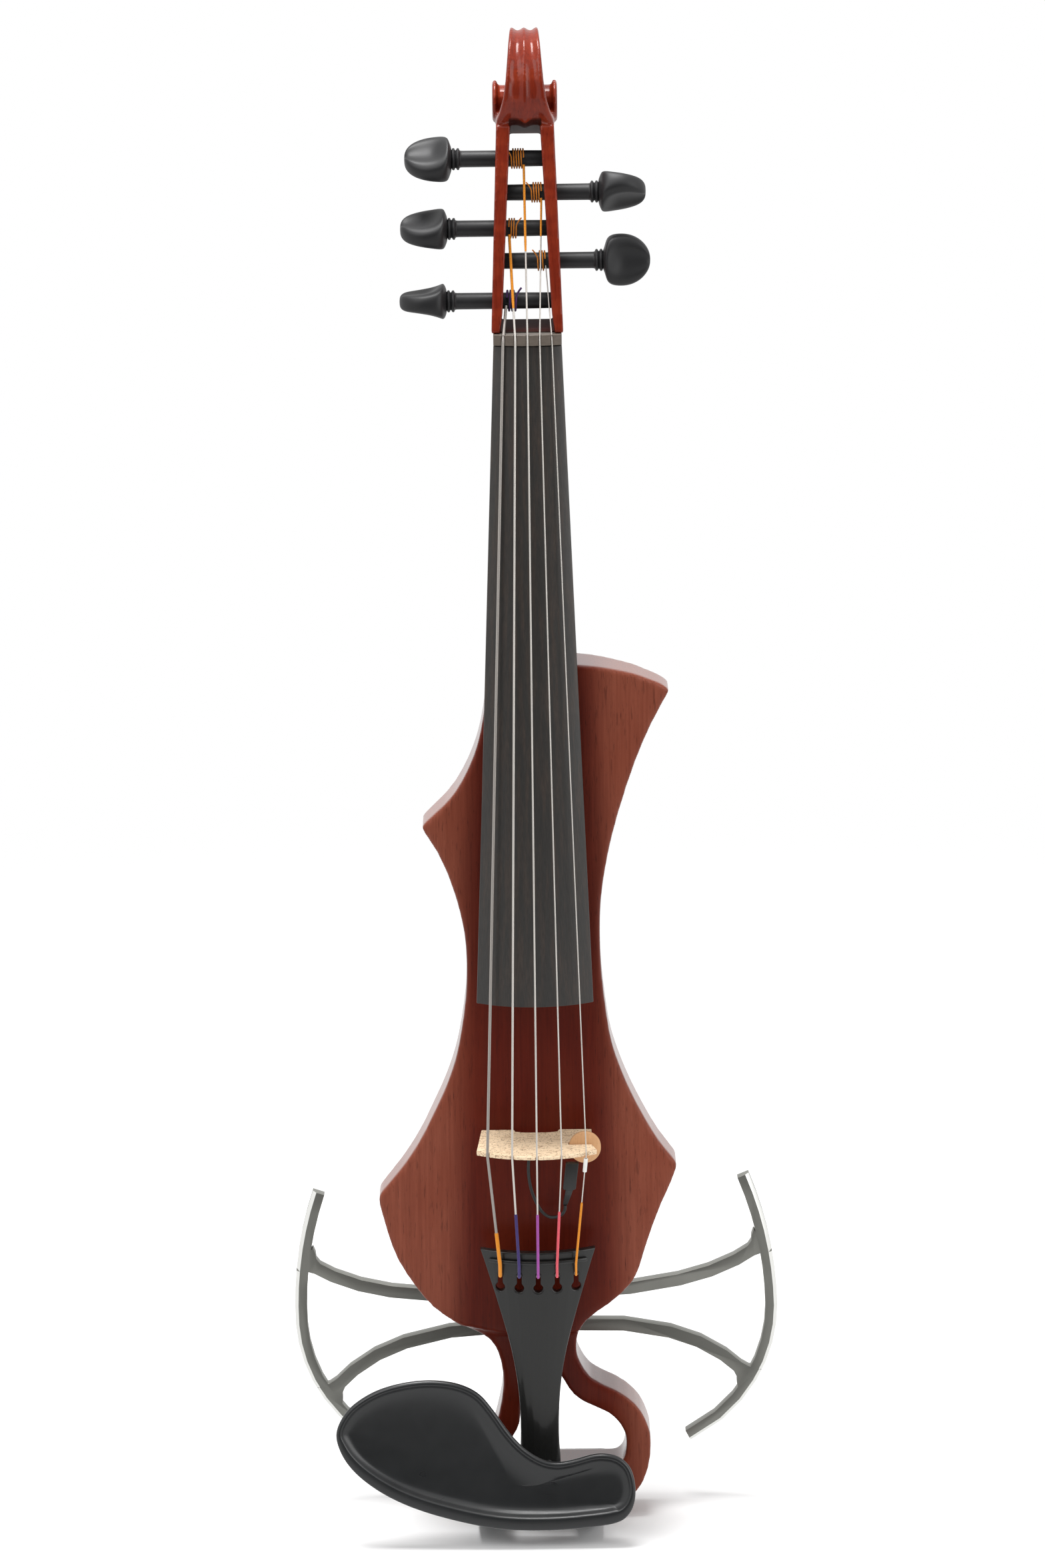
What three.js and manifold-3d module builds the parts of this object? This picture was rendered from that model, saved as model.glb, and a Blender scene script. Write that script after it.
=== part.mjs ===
// A five-string electric violin, in millimetres, +Z up towards the scroll, its front facing -Y.
// Everything is drawn from the nut's front edge (z 0) and the flat of the body's deck (y 0). The
// outer group then moves that point so that the origin is where a hanger takes the scroll's ears.
import * as THREE from 'three';
import { mergeVertices } from 'three/addons/utils/BufferGeometryUtils.js';
import Module from 'manifold-3d';

const wasm = await Module();
wasm.setup();

// Clearances and overruns
const gap = 0.3;
const overrun = 5;
const weld = 1e-4;

// Where the hanger's fork meets the ears, above the nut's edge and behind the deck
const hangerUp = 85.6;
const hangerBack = 27;

// Body: its top below the nut's edge, and how far up from its end its parts and the bridge lie
const bodyTopDown = 130;
const bodyLength = 357;
const boutHalfWidth = 65;
const bodyDepth = 26;
const bodyReach = 70;
const deckHalfTop = 19;
const deckHalfBottom = 30;
const flankSlope = 0.25;
const creaseSoftness = 4;
const loopLength = 74;
const deckEndRise = 4;
const deckEndSpan = 28;
const loopSetback = 3;
const barHeight = 16;
const bridgeRise = 160.4;
const barBottomDown = bodyTopDown + bodyLength;
const barTopDown = barBottomDown - barHeight;
const deckEndDown = barBottomDown - loopLength;
const stopLength = barBottomDown - bridgeRise;

// Strings: spans, and each string's diameter from low to high
const nutSpan = 19.4;
const bridgeSpan = 40;
const tailSpan = 31;
const stringCount = 5;
const stringDiameters = [1.2, 0.9, 0.75, 0.6, 0.5];
const stringSides = 8;
const archRadius = 42;
const nutStringHeight = 2.6;
const bridgeHeight = 33;
const ballDiameter = 3.6;

// Neck, pegbox and scroll
const neckHalfAtNut = 13.6;
const neckHalfAtBody = 16.4;
const neckDepthAtNut = 19;
const neckDepthAtBody = 21;
const heelLength = 26;
const throatSwell = 1.4;
const tenonLength = 46;
const tenonHalfWidth = 14;
const tenonBack = 19;
const cheekFrontAtNut = 0.5;
const cheekLean = 0.125;
const cheekSwell = 1.6;
const cheekBack = 26;
const pegboxBottom = 5;
const throatDepth = 4;
const pegboxTop = 86;
const pegboxHalfBottom = 14.3;
const pegboxHalfTop = 11.2;
const windowHalfBottom = 10.9;
const windowHalfAbove = 9.8;
const windowFlareTop = 12.5;
const windowHalfTop = 5.9;
const windowBottomBack = 9.5;
const windowTop = pegboxTop;
const windowTopFall = 9.7;
const windowRoofBack = 15;
const cheekHalfAtScroll = 8.4;
const scrollCentreUp = 94;
const scrollCentreBack = 27;
const scrollHeightAboveEye = 29;
const scrollBandThickness = 5.5;
const scrollHalfWidest = 11.6;
const fluteDepth = 1.3;
const fluteDepthAtLip = 2;
const eyeRadius = 8.4;
const earHalfWidth = 12.9;
const earChamfer = 1.1;
const earRim = 1.7;
const earChannel = 1.9;
const coreHalfWidth = 4.6;

// Fingerboard and nut
const fingerboardToBridge = 60.6;
const fingerboardLength = stopLength - fingerboardToBridge;
const fingerboardHalfAtEnd = 23.6;
const fingerboardEdge = 5;
const fingerboardTopAtNut = 1.8;
const fingerboardTopAtEnd = 23;
const lowStringFacet = 7;
const nutThickness = 4.4;

// Bridge
const bridgeHalfFeet = 22.5;
const bridgeHalfCrown = 24.4;
const bridgeFootThickness = 3.4;
const bridgeCrownThickness = 1.5;
const wingSlotHeight = 17;
const wingSlotThickness = 3.4;

// Pickup in the treble wing of the bridge
const discDiameter = 13;
const discThickness = 2.6;
const discAcross = 19.6;
const plugWidth = 5.2;
const plugLength = 11;
const plugThickness = 3;
const plugTaperLength = 7.5;
const bootBend = 4.2;
const leadDiameter = 1.3;
const leadSides = 6;
const leadSteps = 28;
const grommetDiameter = 4;
const grommetRise = 0.8;
const leadHoleSetback = 5.9;
const leadHoleDown = stopLength + leadHoleSetback;
const leadHoleAcross = -3.4;
const sleeveDiameter = 1.7;
const sleeveLength = 6;
const sleeveWall = 0.3;

// Tailpiece, its gut, saddle and end button
const tailpieceLength = 97;
const tailpieceEndRise = 19;
const tailpieceTopDown = barBottomDown - tailpieceEndRise - tailpieceLength;
const tailpieceHalfWidth = 23.6;
const tailpieceArch = 45;
const tailpieceArchAtEnd = 14;
const tailpieceEndHalf = 10;
const tailpieceWall = 4;
const tailpieceFrontAtTop = 19.5;
const tailpieceFrontAtEnd = 11.5;
const fretInset = 4;
const fretDown = tailpieceTopDown + fretInset;
const fretHeight = 1.6;
const fretThickness = 1.5;
const keyholeInset = 15.5;
const keyholeDown = tailpieceTopDown + keyholeInset;
const keyholeDiameter = 3.9;
const keyslotWidth = 1.8;
const keyslotLength = 6.5;
const tailgutDiameter = 1.8;
const tailgutSpread = 7;
const saddleWidth = 24;
const saddleHeight = 5;
const saddleProud = 1.6;
const saddleDepth = 3;
const saddleRound = 2.2;
const buttonDiameter = 9;
const buttonHeadLength = 5;
const buttonStemDiameter = 5.6;
const buttonStemLength = 10;

// Pegs: height as a share of the pegbox, side of the head (-1 left, 1 right), turn of the thumb
// piece, how far out the head stands as a share of the usual, and for each its winding's first place
// across as a share of the pegbox window's half width, the way the turns run, how many, its string
const pegShaftDiameter = 6.6;
const pegEndDiameter = 6.2;
const pegHeadLength = 19.5;
const pegHeadHalfWidth = 10.6;
const pegHeadHalfThickness = 6.6;
const pegCollarLength = 4;
const pegCollarDiameter = 8.8;
const pegHeadOut = 30.6;
const pegBackAtNut = 8;
const pegLean = 0.14;
const pegSides = 10;
const pegShares = [
  { upShare: 0.8407, side: -1, turn: 55, outShare: 0.965, windShare: -0.0714, windWay: -1, loops: 5, string: 2 },
  { upShare: 0.68605, side: 1, turn: 53, outShare: 0.95, windShare: 0.6327, windWay: -1, loops: 4, string: 3 },
  { upShare: 0.52326, side: -1, turn: 69, outShare: 1.03, windShare: -0.7041, windWay: 1, loops: 3, string: 1 },
  { upShare: 0.37442, side: 1, turn: 0, outShare: 1, windShare: 0.7551, windWay: -1, loops: 3, string: 4 },
  { upShare: 0.19302, side: -1, turn: 90, outShare: 1.05, windShare: -0.8163, windWay: 1, loops: 3, string: 0 },
];
const pegs = pegShares.map((peg) => ({
  ...peg,
  up: peg.upShare * pegboxTop,
  out: peg.outShare * pegHeadOut,
  windAt: peg.windShare * windowHalfAbove,
}));
const windingThickness = 0.55;
const lowWindingThickness = 0.8;
const windingSpace = 0.44;
const windingSteps = 24;
const windingSides = 6;
const windingTail = 2.2;

// Chin rest and its clamp
const chinLeft = -83.5;
const chinRight = 38.8;
const chinHeight = 62.6;
const chinSetback = 1.1;
const chinBottomDown = barBottomDown - chinSetback;
const chinTopDown = chinBottomDown - chinHeight;
const chinRimBack = 26;
const chinTilt = 0.13;
const chinThickness = 5.5;
const chinDish = 5;
const chinRimWidth = 2.2;
const pillarAcross = 20;
const pillarWidth = 12;
const pillarHeight = 11;
const corkThickness = 2;
const clampDrop = 3.9;
const barrelDiameter = 5;
const barrelLength = 17;
const barrelFront = 1.5;
const studDiameter = 3;
const footThickness = 2.4;
const footHeight = 18;
const footWidth = 54;
const tommyDiameter = 1.4;

// Control cavity, cover, battery and electronics in the back
const coverLeft = -34;
const coverWidth = 70;
const coverRise = 6.6;
const coverTopDown = stopLength - coverRise;
const coverHeight = 56;
const coverBottomDown = coverTopDown + coverHeight;
const coverThickness = 2;
const ledge = 7;
const ledgeShort = 3;
const bayWidth = 28;
const bayFront = 5.5;
const boardBayFront = 9;
const bayWall = 2;
const coverScrewDiameter = 2.6;
const coverScrewHead = 5;
const coverScrewHeadLength = 1.3;
const coverScrewLength = 9;
const coverScrewInset = 3.5;
const lidKnuckleDiameter = 3.6;
const lidPinDiameter = 1.4;
const lidKnuckleShare = 0.5;
const lidLipWidth = 9;
const lidLipHeight = 1.4;
const batteryWidth = 26;
const batteryHeight = 45;
const batteryDepth = 16.6;
const snapThickness = 2;
const boardThickness = 1.6;
const boardBack = 6.2;
const potSize = 10;
const potDepth = 3.6;
const knobDiameter = 13;
const knobHeight = 7;
const knobShaftDiameter = 5;
const knobFluteDiameter = 1.6;
const knobFlutes = 8;
const knobSpread = 11.5;

// Shoulder frame behind the body
const hubHalfWidth = 16;
const hubHalfHeight = 12;
const hubSetback = 22;
const frameCentreDown = coverBottomDown + hubSetback + hubHalfHeight;
const frameCentreAcross = -0.9;
const frameTilt = 1.8;
const frameStandoff = 4;
const frameThickness = 5;
const frameBand = 5;
const frameRim = 1.5;
const wingReach = 100.6;
const wingWidestUp = -2;
const wingUpperRadius = 160;
const wingLowerRadius = 66;
const wingTopUp = 54;
const wingBottomUp = -61.9;
const upperArmAtWing = 25;
const upperArmAtHub = 5;
const lowerArmAtWing = -37.5;
const lowerArmAtHub = -8;
const armFillet = 2.6;
const hubScrewSpread = 7;
const frameScrewDiameter = 4;
const frameScrewHead = 8;
const frameScrewHeadLength = 2.4;

// Output jack in the lower left edge of the body
const jackAcross = -30;
const jackBack = 14.5;
const jackSetback = 25;
const jackSeatDown = coverBottomDown + jackSetback;
const jackBarrelDiameter = 11;
const jackBarrelLength = 26;
const jackBoreDiameter = 6.8;
const jackBushDiameter = 9.4;
const jackBushLength = 6;
const jackNutAcross = 13.6;
const jackNutThickness = 2.2;
const jackWasherDiameter = 14.4;
const jackWasherThickness = 0.8;
const wireWayDiameter = 3.6;

const halfTurn = Math.PI;
const rad = THREE.MathUtils.degToRad;
const v2 = (x, y) => new THREE.Vector2(x, y);
const v3 = (x, y, z) => new THREE.Vector3(x, y, z);

// Finishes
const finish = (color, roughness, metalness = 0) =>
  new THREE.MeshStandardMaterial({ color, roughness, metalness });
const stainedMaple = finish(0x5a2014, 0.5);
const varnishedMaple = finish(0x78301c, 0.3);
const ebony = finish(0x34322f, 0.45);
const blackWood = finish(0x242424, 0.4);
const bridgeMaple = finish(0xdec4a0, 0.6);
const discMaple = finish(0xcda073, 0.6);
const blackPlastic = finish(0x262626, 0.45);
const greyNut = finish(0x645c54, 0.5);
const steel = finish(0xb8b8b8, 0.3, 0.9);
const wireSteel = finish(0xd7d2cb, 0.35, 0.7);
const aluminium = finish(0x8c8c88, 0.4, 0.9);
const cork = finish(0xb08a5c, 0.9);
const greenBoard = finish(0x1f5b34, 0.6);
const orangeSilk = finish(0xd2821e, 0.8);
const purpleSilk = finish(0x503264, 0.8);
const whiteTube = finish(0xf0f0ee, 0.4);
const batteryCase = finish(0x3a3a40, 0.4, 0.3);

const violin = new THREE.Group();
violin.position.set(0, -hangerBack, -hangerUp);

function add(name, shape, material) {
  const geometry = shape.isBufferGeometry ? shape : geometryOf(shape);
  const mesh = new THREE.Mesh(geometry, material);
  mesh.name = name;
  violin.add(mesh);
}

// Solids for joining and cutting
function solid(geometry) {
  const bare = geometry.clone();
  bare.deleteAttribute('normal');
  bare.deleteAttribute('uv');
  const merged = mergeVertices(bare, weld);
  const corners = merged.index.array;
  const kept = [];
  for (let i = 0; i < corners.length; i += 3) {
    const [a, b, c] = corners.slice(i, i + 3);
    if (a !== b && b !== c && c !== a) kept.push(a, b, c);
  }
  return new wasm.Manifold(new wasm.Mesh({
    numProp: 3,
    vertProperties: new Float32Array(merged.attributes.position.array),
    triVerts: new Uint32Array(kept),
  }));
}

function geometryOf(manifold) {
  const mesh = manifold.getMesh();
  const geometry = new THREE.BufferGeometry();
  geometry.setAttribute('position', new THREE.BufferAttribute(mesh.vertProperties, 3));
  geometry.setIndex(new THREE.BufferAttribute(mesh.triVerts, 1));
  return geometry;
}

const join = (parts) => parts.reduce((whole, part) => whole.add(part));
const cut = (whole, tools) => tools.reduce((rest, tool) => rest.subtract(tool), whole);

// A shape drawn in X and Z, run through from one depth to another
function plateXZ(shape, front, back, curveSegments = 2) {
  const geometry = new THREE.ExtrudeGeometry(shape,
    { depth: back - front, bevelEnabled: false, curveSegments });
  geometry.rotateX(halfTurn / 2);
  geometry.translate(0, back, 0);
  return solid(geometry);
}

// A shape drawn in X and Y, run up from one height to another
function plateXY(shape, low, high, curveSegments = 2) {
  const geometry = new THREE.ExtrudeGeometry(shape,
    { depth: high - low, bevelEnabled: false, curveSegments });
  geometry.translate(0, 0, low);
  return solid(geometry);
}

// A shape drawn in Y and Z, run across from one side to the other
function plateYZ(shape, left, right, curveSegments = 2) {
  const geometry = new THREE.ExtrudeGeometry(shape,
    { depth: right - left, bevelEnabled: false, curveSegments });
  geometry.applyMatrix4(new THREE.Matrix4().makeBasis(v3(0, 1, 0), v3(0, 0, 1), v3(1, 0, 0)));
  geometry.translate(left, 0, 0);
  return solid(geometry);
}

function block(left, right, front, back, low, high) {
  const geometry = new THREE.BoxGeometry(right - left, back - front, high - low);
  geometry.translate((left + right) / 2, (front + back) / 2, (low + high) / 2);
  return solid(geometry);
}

// A turned piece from a list of [distance along, radius], from one point towards a direction
function turned(profile, start, direction, sides) {
  const points = profile.map(([along, radius]) => v2(radius, along));
  if (points[0].x > 0) points.unshift(v2(0, points[0].y));
  if (points[points.length - 1].x > 0) points.push(v2(0, points[points.length - 1].y));
  const geometry = new THREE.LatheGeometry(points, sides);
  const turn = new THREE.Quaternion().setFromUnitVectors(v3(0, 1, 0), direction.clone().normalize());
  geometry.applyQuaternion(turn);
  geometry.translate(start.x, start.y, start.z);
  return outward(geometry);
}

const rod = (start, direction, length, radius, sides = 12) =>
  turned([[0, radius], [length, radius]], start, direction, sides);

function signedVolume(geometry) {
  const spot = geometry.attributes.position;
  const index = geometry.index;
  const corner = (i) => v3().fromBufferAttribute(spot, index.getX(i));
  let volume = 0;
  for (let i = 0; i < index.count; i += 3) {
    volume += corner(i).dot(corner(i + 1).cross(corner(i + 2)));
  }
  return volume;
}

// The same solid with its faces turned out, whichever way it was drawn
function outward(geometry) {
  if (signedVolume(geometry) < 0) {
    const index = geometry.index;
    for (let i = 0; i < index.count; i += 3) {
      const first = index.getX(i);
      index.setX(i, index.getX(i + 1));
      index.setX(i + 1, first);
    }
  }
  return solid(geometry);
}

// A closed skin over rings of equal count, with a fan at each end
function loftGeometry(rings) {
  const count = rings[0].length;
  const middle = (ring) => ring.reduce((sum, point) => sum.add(point), v3()).divideScalar(count);
  const points = [...rings.flat(), middle(rings[0]), middle(rings[rings.length - 1])];
  const index = [];
  for (let r = 0; r + 1 < rings.length; r += 1) {
    for (let i = 0; i < count; i += 1) {
      const a = r * count + i;
      const b = r * count + ((i + 1) % count);
      index.push(a, b, a + count, b, b + count, a + count);
    }
  }
  const last = (rings.length - 1) * count;
  for (let i = 0; i < count; i += 1) {
    const next = (i + 1) % count;
    index.push(points.length - 2, next, i);
    index.push(points.length - 1, last + i, last + next);
  }
  const geometry = new THREE.BufferGeometry().setFromPoints(points);
  geometry.setIndex(index);
  return geometry;
}

const loft = (rings) => outward(loftGeometry(rings));

// Rings of a wire that follows a list of points, each ring square to the way through it
function wireRings(points, radius, sides) {
  const ways = points.map((point, i) => {
    const before = points[Math.max(i - 1, 0)];
    const after = points[Math.min(i + 1, points.length - 1)];
    return after.clone().sub(before).normalize();
  });
  const upright = Math.abs(ways[0].x) < 0.9 ? v3(1, 0, 0) : v3(0, 1, 0);
  let side = upright.addScaledVector(ways[0], -upright.dot(ways[0])).normalize();
  return points.map((point, i) => {
    side = side.clone().addScaledVector(ways[i], -side.dot(ways[i])).normalize();
    const other = ways[i].clone().cross(side);
    return Array.from({ length: sides }, (_, k) => {
      const angle = (2 * halfTurn * k) / sides;
      return point.clone()
        .addScaledVector(side, radius * Math.cos(angle))
        .addScaledVector(other, radius * Math.sin(angle));
    });
  });
}

const wire = (points, radius, sides = stringSides) => loft(wireRings(points, radius, sides));

// How far the arched top of the strings falls at a place across
const archDrop = (across, radius = archRadius) => radius - Math.sqrt(radius ** 2 - across ** 2);
const lerp = THREE.MathUtils.lerp;

// Outline of the body: hand-chosen places as shares of half the bout's width and of the length
const bodyPoint = ([acrossShare, downShare]) =>
  v2(acrossShare * boutHalfWidth, -bodyTopDown - downShare * bodyLength);
const bodyRunsShares = [
  [[-0.27, 0], [-0.283, 0.034], [-0.302, 0.059], [-0.338, 0.09], [-0.405, 0.122], [-0.508, 0.154],
  [-0.654, 0.181],
    [-0.692, 0.189]],
  [[-0.692, 0.189], [-0.674, 0.197], [-0.591, 0.221], [-0.511, 0.256], [-0.446, 0.301], [-0.425, 0.342],
    [-0.434, 0.387], [-0.468, 0.431], [-0.508, 0.464], [-0.569, 0.496], [-0.646, 0.527], [-0.731, 0.559],
    [-0.84, 0.591], [-0.977, 0.623]],
  [[-0.977, 0.623], [-1.003, 0.633], [-0.978, 0.655], [-0.908, 0.697], [-0.814, 0.727], [-0.689, 0.756],
    [-0.545, 0.775], [-0.431, 0.786], [-0.349, 0.794], [-0.28, 0.807], [-0.237, 0.831], [-0.231, 0.86],
    [-0.263, 0.893], [-0.323, 0.933], [-0.39, 0.97], [-0.385, 0.99], [-0.33, 1]],
  [[-0.33, 1], [0.5, 1]],
  [[0.5, 1], [0.622, 0.986], [0.691, 0.958], [0.709, 0.925], [0.685, 0.905], [0.629, 0.885], [0.52, 0.867],
    [0.343, 0.85], [0.268, 0.831], [0.238, 0.814], [0.251, 0.793], [0.308, 0.774], [0.488, 0.75],
    [0.586, 0.733],
    [0.632, 0.719], [0.675, 0.695], [0.711, 0.675], [0.775, 0.644], [0.848, 0.615], [0.886, 0.596]],
  [[0.886, 0.596], [0.872, 0.589], [0.768, 0.563], [0.668, 0.53], [0.585, 0.498], [0.518, 0.466],
  [0.469, 0.434],
    [0.434, 0.387], [0.417, 0.35], [0.411, 0.311], [0.42, 0.273], [0.451, 0.234], [0.512, 0.186],
    [0.618, 0.126],
    [0.723, 0.08], [0.83, 0.044], [0.858, 0.035]],
  [[0.858, 0.035], [0.8, 0.027], [0.715, 0.02], [0.622, 0.013], [0.431, 0.004], [0.277, 0]],
];
const tailWindowShares = [
  [[0, 0.822], [-0.077, 0.843], [-0.115, 0.874], [-0.128, 0.902], [-0.183, 0.922], [-0.255, 0.945],
  [-0.262, 0.955]],
  [[-0.262, 0.955], [0.48, 0.955]],
  [[0.48, 0.955], [0.535, 0.947], [0.552, 0.923], [0.518, 0.906], [0.443, 0.891], [0.286, 0.877],
  [0.206, 0.865],
    [0.14, 0.845], [0.08, 0.828], [0, 0.822]],
];

// A closed outline of smooth runs that meet in corners
function smoothOutline(runs, Kind = THREE.Shape) {
  const outline = new Kind();
  outline.moveTo(runs[0][0].x, runs[0][0].y);
  for (const run of runs) {
    if (run.length === 2) outline.lineTo(run[1].x, run[1].y);
    else outline.splineThru(run.slice(1));
  }
  outline.closePath();
  return outline;
}

const deckHalf = (down) =>
  lerp(deckHalfTop, deckHalfBottom, (down - bodyTopDown) / (barBottomDown - bodyTopDown));

// How far the face has fallen behind the deck at a place on the body
function faceFall(across, down) {
  const past = Math.max(Math.abs(across) - deckHalf(down), 0);
  return flankSlope * (Math.hypot(past, creaseSoftness) - creaseSoftness);
}

// The block that carries the face: a flat deck down the middle, flanks falling to both sides
function faceBlock() {
  const flankShares = [1, 0.6, 0.3, 0.12];
  const rows = 15;
  const rings = [];
  for (let row = 0; row <= rows; row += 1) {
    const down = bodyTopDown - overrun + ((bodyLength + 2 * overrun) * row) / rows;
    const half = deckHalf(down);
    const left = flankShares.map((share) => -lerp(half, bodyReach, share));
    const across = [...left, -half, half, ...left.map((x) => -x).reverse()];
    const ring = across.map((x) => v3(x, faceFall(x, down), -down));
    ring.push(v3(bodyReach, bodyDepth, -down), v3(-bodyReach, bodyDepth, -down));
    rings.push(ring);
  }
  return loft(rings);
}

// What is taken away below the deck's end, where the tail loop lies further back than the face
function deckEndCutter() {
  const end = new THREE.Shape();
  end.moveTo(-bodyReach, -barBottomDown - overrun);
  end.lineTo(bodyReach, -barBottomDown - overrun);
  end.lineTo(bodyReach, -deckEndDown + deckEndRise);
  end.lineTo(deckEndSpan, -deckEndDown + deckEndRise);
  end.quadraticCurveTo(0, -deckEndDown - deckEndRise, -deckEndSpan, -deckEndDown + deckEndRise);
  end.lineTo(-bodyReach, -deckEndDown + deckEndRise);
  end.closePath();
  return plateXZ(end, -overrun, loopSetback, 8);
}

const backFace = bodyDepth;
const coverFront = backFace - coverThickness;
const coverRight = coverLeft + coverWidth;
const bayLeft = coverLeft + ledge;
const bayRight = coverRight - ledge;
const bayTopDown = coverTopDown + ledgeShort;
const bayBottomDown = coverBottomDown - ledgeShort;
const bayMiddle = bayRight - bayWidth;
const coverScrewPlaces = [
  [coverLeft + coverScrewInset, coverTopDown + coverScrewInset],
  [coverRight - coverScrewInset, coverTopDown + coverScrewInset],
  [coverLeft + coverScrewInset, coverBottomDown - coverScrewInset],
  [coverRight - coverScrewInset, coverBottomDown - coverScrewInset],
];
const frameScrewDowns = [frameCentreDown - hubScrewSpread, frameCentreDown + hubScrewSpread];
const frameScrewReach = backFace / 2;
const fingerboardUnderAt = (down) =>
  lerp(fingerboardUnderAtNut, fingerboardUnderAtEnd, down / fingerboardLength);
const fingerboardUnderAtNut = -fingerboardTopAtNut + archDrop(neckHalfAtNut) + fingerboardEdge;
const fingerboardUnderAtEnd = -fingerboardTopAtEnd + archDrop(fingerboardHalfAtEnd) + fingerboardEdge;

// The carved body with its tail loop, and every recess that its fittings sit in
function makeBody() {
  const outline = smoothOutline(bodyRunsShares.map((run) => run.map(bodyPoint)));
  outline.holes.push(smoothOutline(tailWindowShares.map((run) => run.map(bodyPoint)), THREE.Path));
  const carved = cut(plateXZ(outline, -overrun, backFace).intersect(faceBlock()), [deckEndCutter()]);
  const tenonEndDown = bodyTopDown + tenonLength;
  const tools = [
    block(-tenonHalfWidth - gap, tenonHalfWidth + gap, -overrun, tenonBack + gap,
      -tenonEndDown - gap, -bodyTopDown + overrun),
    block(coverLeft - gap, coverRight + gap, coverFront - gap, backFace + overrun,
      -coverBottomDown - gap, -coverTopDown + gap),
    block(bayMiddle, bayRight, bayFront, backFace + overrun, -bayBottomDown, -bayTopDown),
    block(bayLeft, bayMiddle - bayWall, boardBayFront, backFace + overrun, -bayBottomDown, -bayTopDown),
    block(bayMiddle - bayWall - overrun, bayMiddle + overrun, boardBayFront + grommetDiameter, coverFront,
      -bayTopDown - snapThickness, -bayTopDown),
    rod(v3(leadHoleAcross, -overrun, -leadHoleDown), v3(0, 1, 0), overrun + boardBayFront + overrun,
      grommetDiameter / 2 + gap, 10),
    rod(v3(jackAcross, jackBack, -jackSeatDown), v3(0, 0, -1), bodyDepth,
      jackWasherDiameter / 2 + 2 * gap, 16),
    rod(v3(jackAcross, jackBack, -jackSeatDown - overrun), v3(0, 0, 1), jackBarrelLength + overrun + 2 * gap,
      jackBarrelDiameter / 2 + gap, 16),
    rod(v3(jackAcross, boardBayFront + wireWayDiameter, -jackSeatDown + jackBarrelLength - overrun),
      v3(bayLeft + overrun - jackAcross, 0, jackSeatDown - jackBarrelLength - bayBottomDown + 2 * overrun),
      3 * overrun, wireWayDiameter / 2, 8),
    block(-saddleWidth / 2 - gap, saddleWidth / 2 + gap, loopSetback - overrun,
      loopSetback + saddleDepth + gap,
      -barBottomDown - overrun, -barBottomDown + saddleHeight + gap),
    rod(v3(0, buttonCentreBack, -barBottomDown - overrun), v3(0, 0, 1), overrun + buttonStemLength + gap,
      buttonStemDiameter / 2 + gap, 10),
  ];
  for (const [across, down] of coverScrewPlaces) {
    tools.push(rod(v3(across, backFace - coverScrewLength - gap, -down), v3(0, 1, 0),
      coverScrewLength + overrun,
      coverScrewDiameter / 2 + gap, 8));
  }
  for (const down of frameScrewDowns) {
    tools.push(rod(v3(frameCentreAcross, backFace - frameScrewReach - gap, -down), v3(0, 1, 0),
      frameScrewReach + overrun, frameScrewDiameter / 2 + gap, 8));
  }
  add('body', cut(carved, tools), stainedMaple);
}

// Neck, heel and tenon: half-round behind, flat under the fingerboard
function neckRing(down, half, backDepth) {
  const flat = fingerboardUnderAt(down) + gap;
  const steps = 10;
  const ring = [];
  for (let i = 0; i <= steps; i += 1) {
    const angle = (halfTurn * i) / steps;
    ring.push(v3(-half * Math.cos(angle), flat + (backDepth - flat) * Math.sin(angle) ** 0.8, -down));
  }
  return ring;
}

function makeNeckShaft() {
  const neckBack = (down) => {
    const share = down / bodyTopDown;
    const top = -lerp(fingerboardTopAtNut, fingerboardTopAtEnd, down / fingerboardLength);
    return top + lerp(neckDepthAtNut, neckDepthAtBody, share);
  };
  const half = (down) => lerp(neckHalfAtNut, neckHalfAtBody, down / bodyTopDown);
  const heelShares = [[0, 0], [0.35, 0.1], [0.65, 0.38], [0.86, 0.72], [1, 0.92]];
  const rings = [neckRing(-pegboxBottom, neckHalfAtNut, neckBack(0) + throatSwell)];
  const heelStartDown = bodyTopDown - heelLength;
  const straight = [0, heelStartDown / 3, (2 * heelStartDown) / 3];
  for (const down of straight) rings.push(neckRing(down, half(down), neckBack(down)));
  const heelEnd = bodyTopDown - gap;
  for (const [alongShare, deepShare] of heelShares) {
    const down = lerp(heelStartDown, heelEnd, alongShare);
    rings.push(neckRing(down, half(down), lerp(neckBack(down), backFace, deepShare)));
  }
  const tenonTop = fingerboardUnderAt(bodyTopDown + tenonLength) + gap;
  const tenonSide = new THREE.Shape([
    v2(fingerboardUnderAt(bodyTopDown - overrun) + gap, -bodyTopDown + overrun),
    v2(tenonBack, -bodyTopDown + overrun),
    v2(tenonBack, -bodyTopDown - tenonLength),
    v2(tenonTop, -bodyTopDown - tenonLength),
  ]);
  return loft(rings).add(plateYZ(tenonSide, -tenonHalfWidth, tenonHalfWidth));
}

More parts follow.
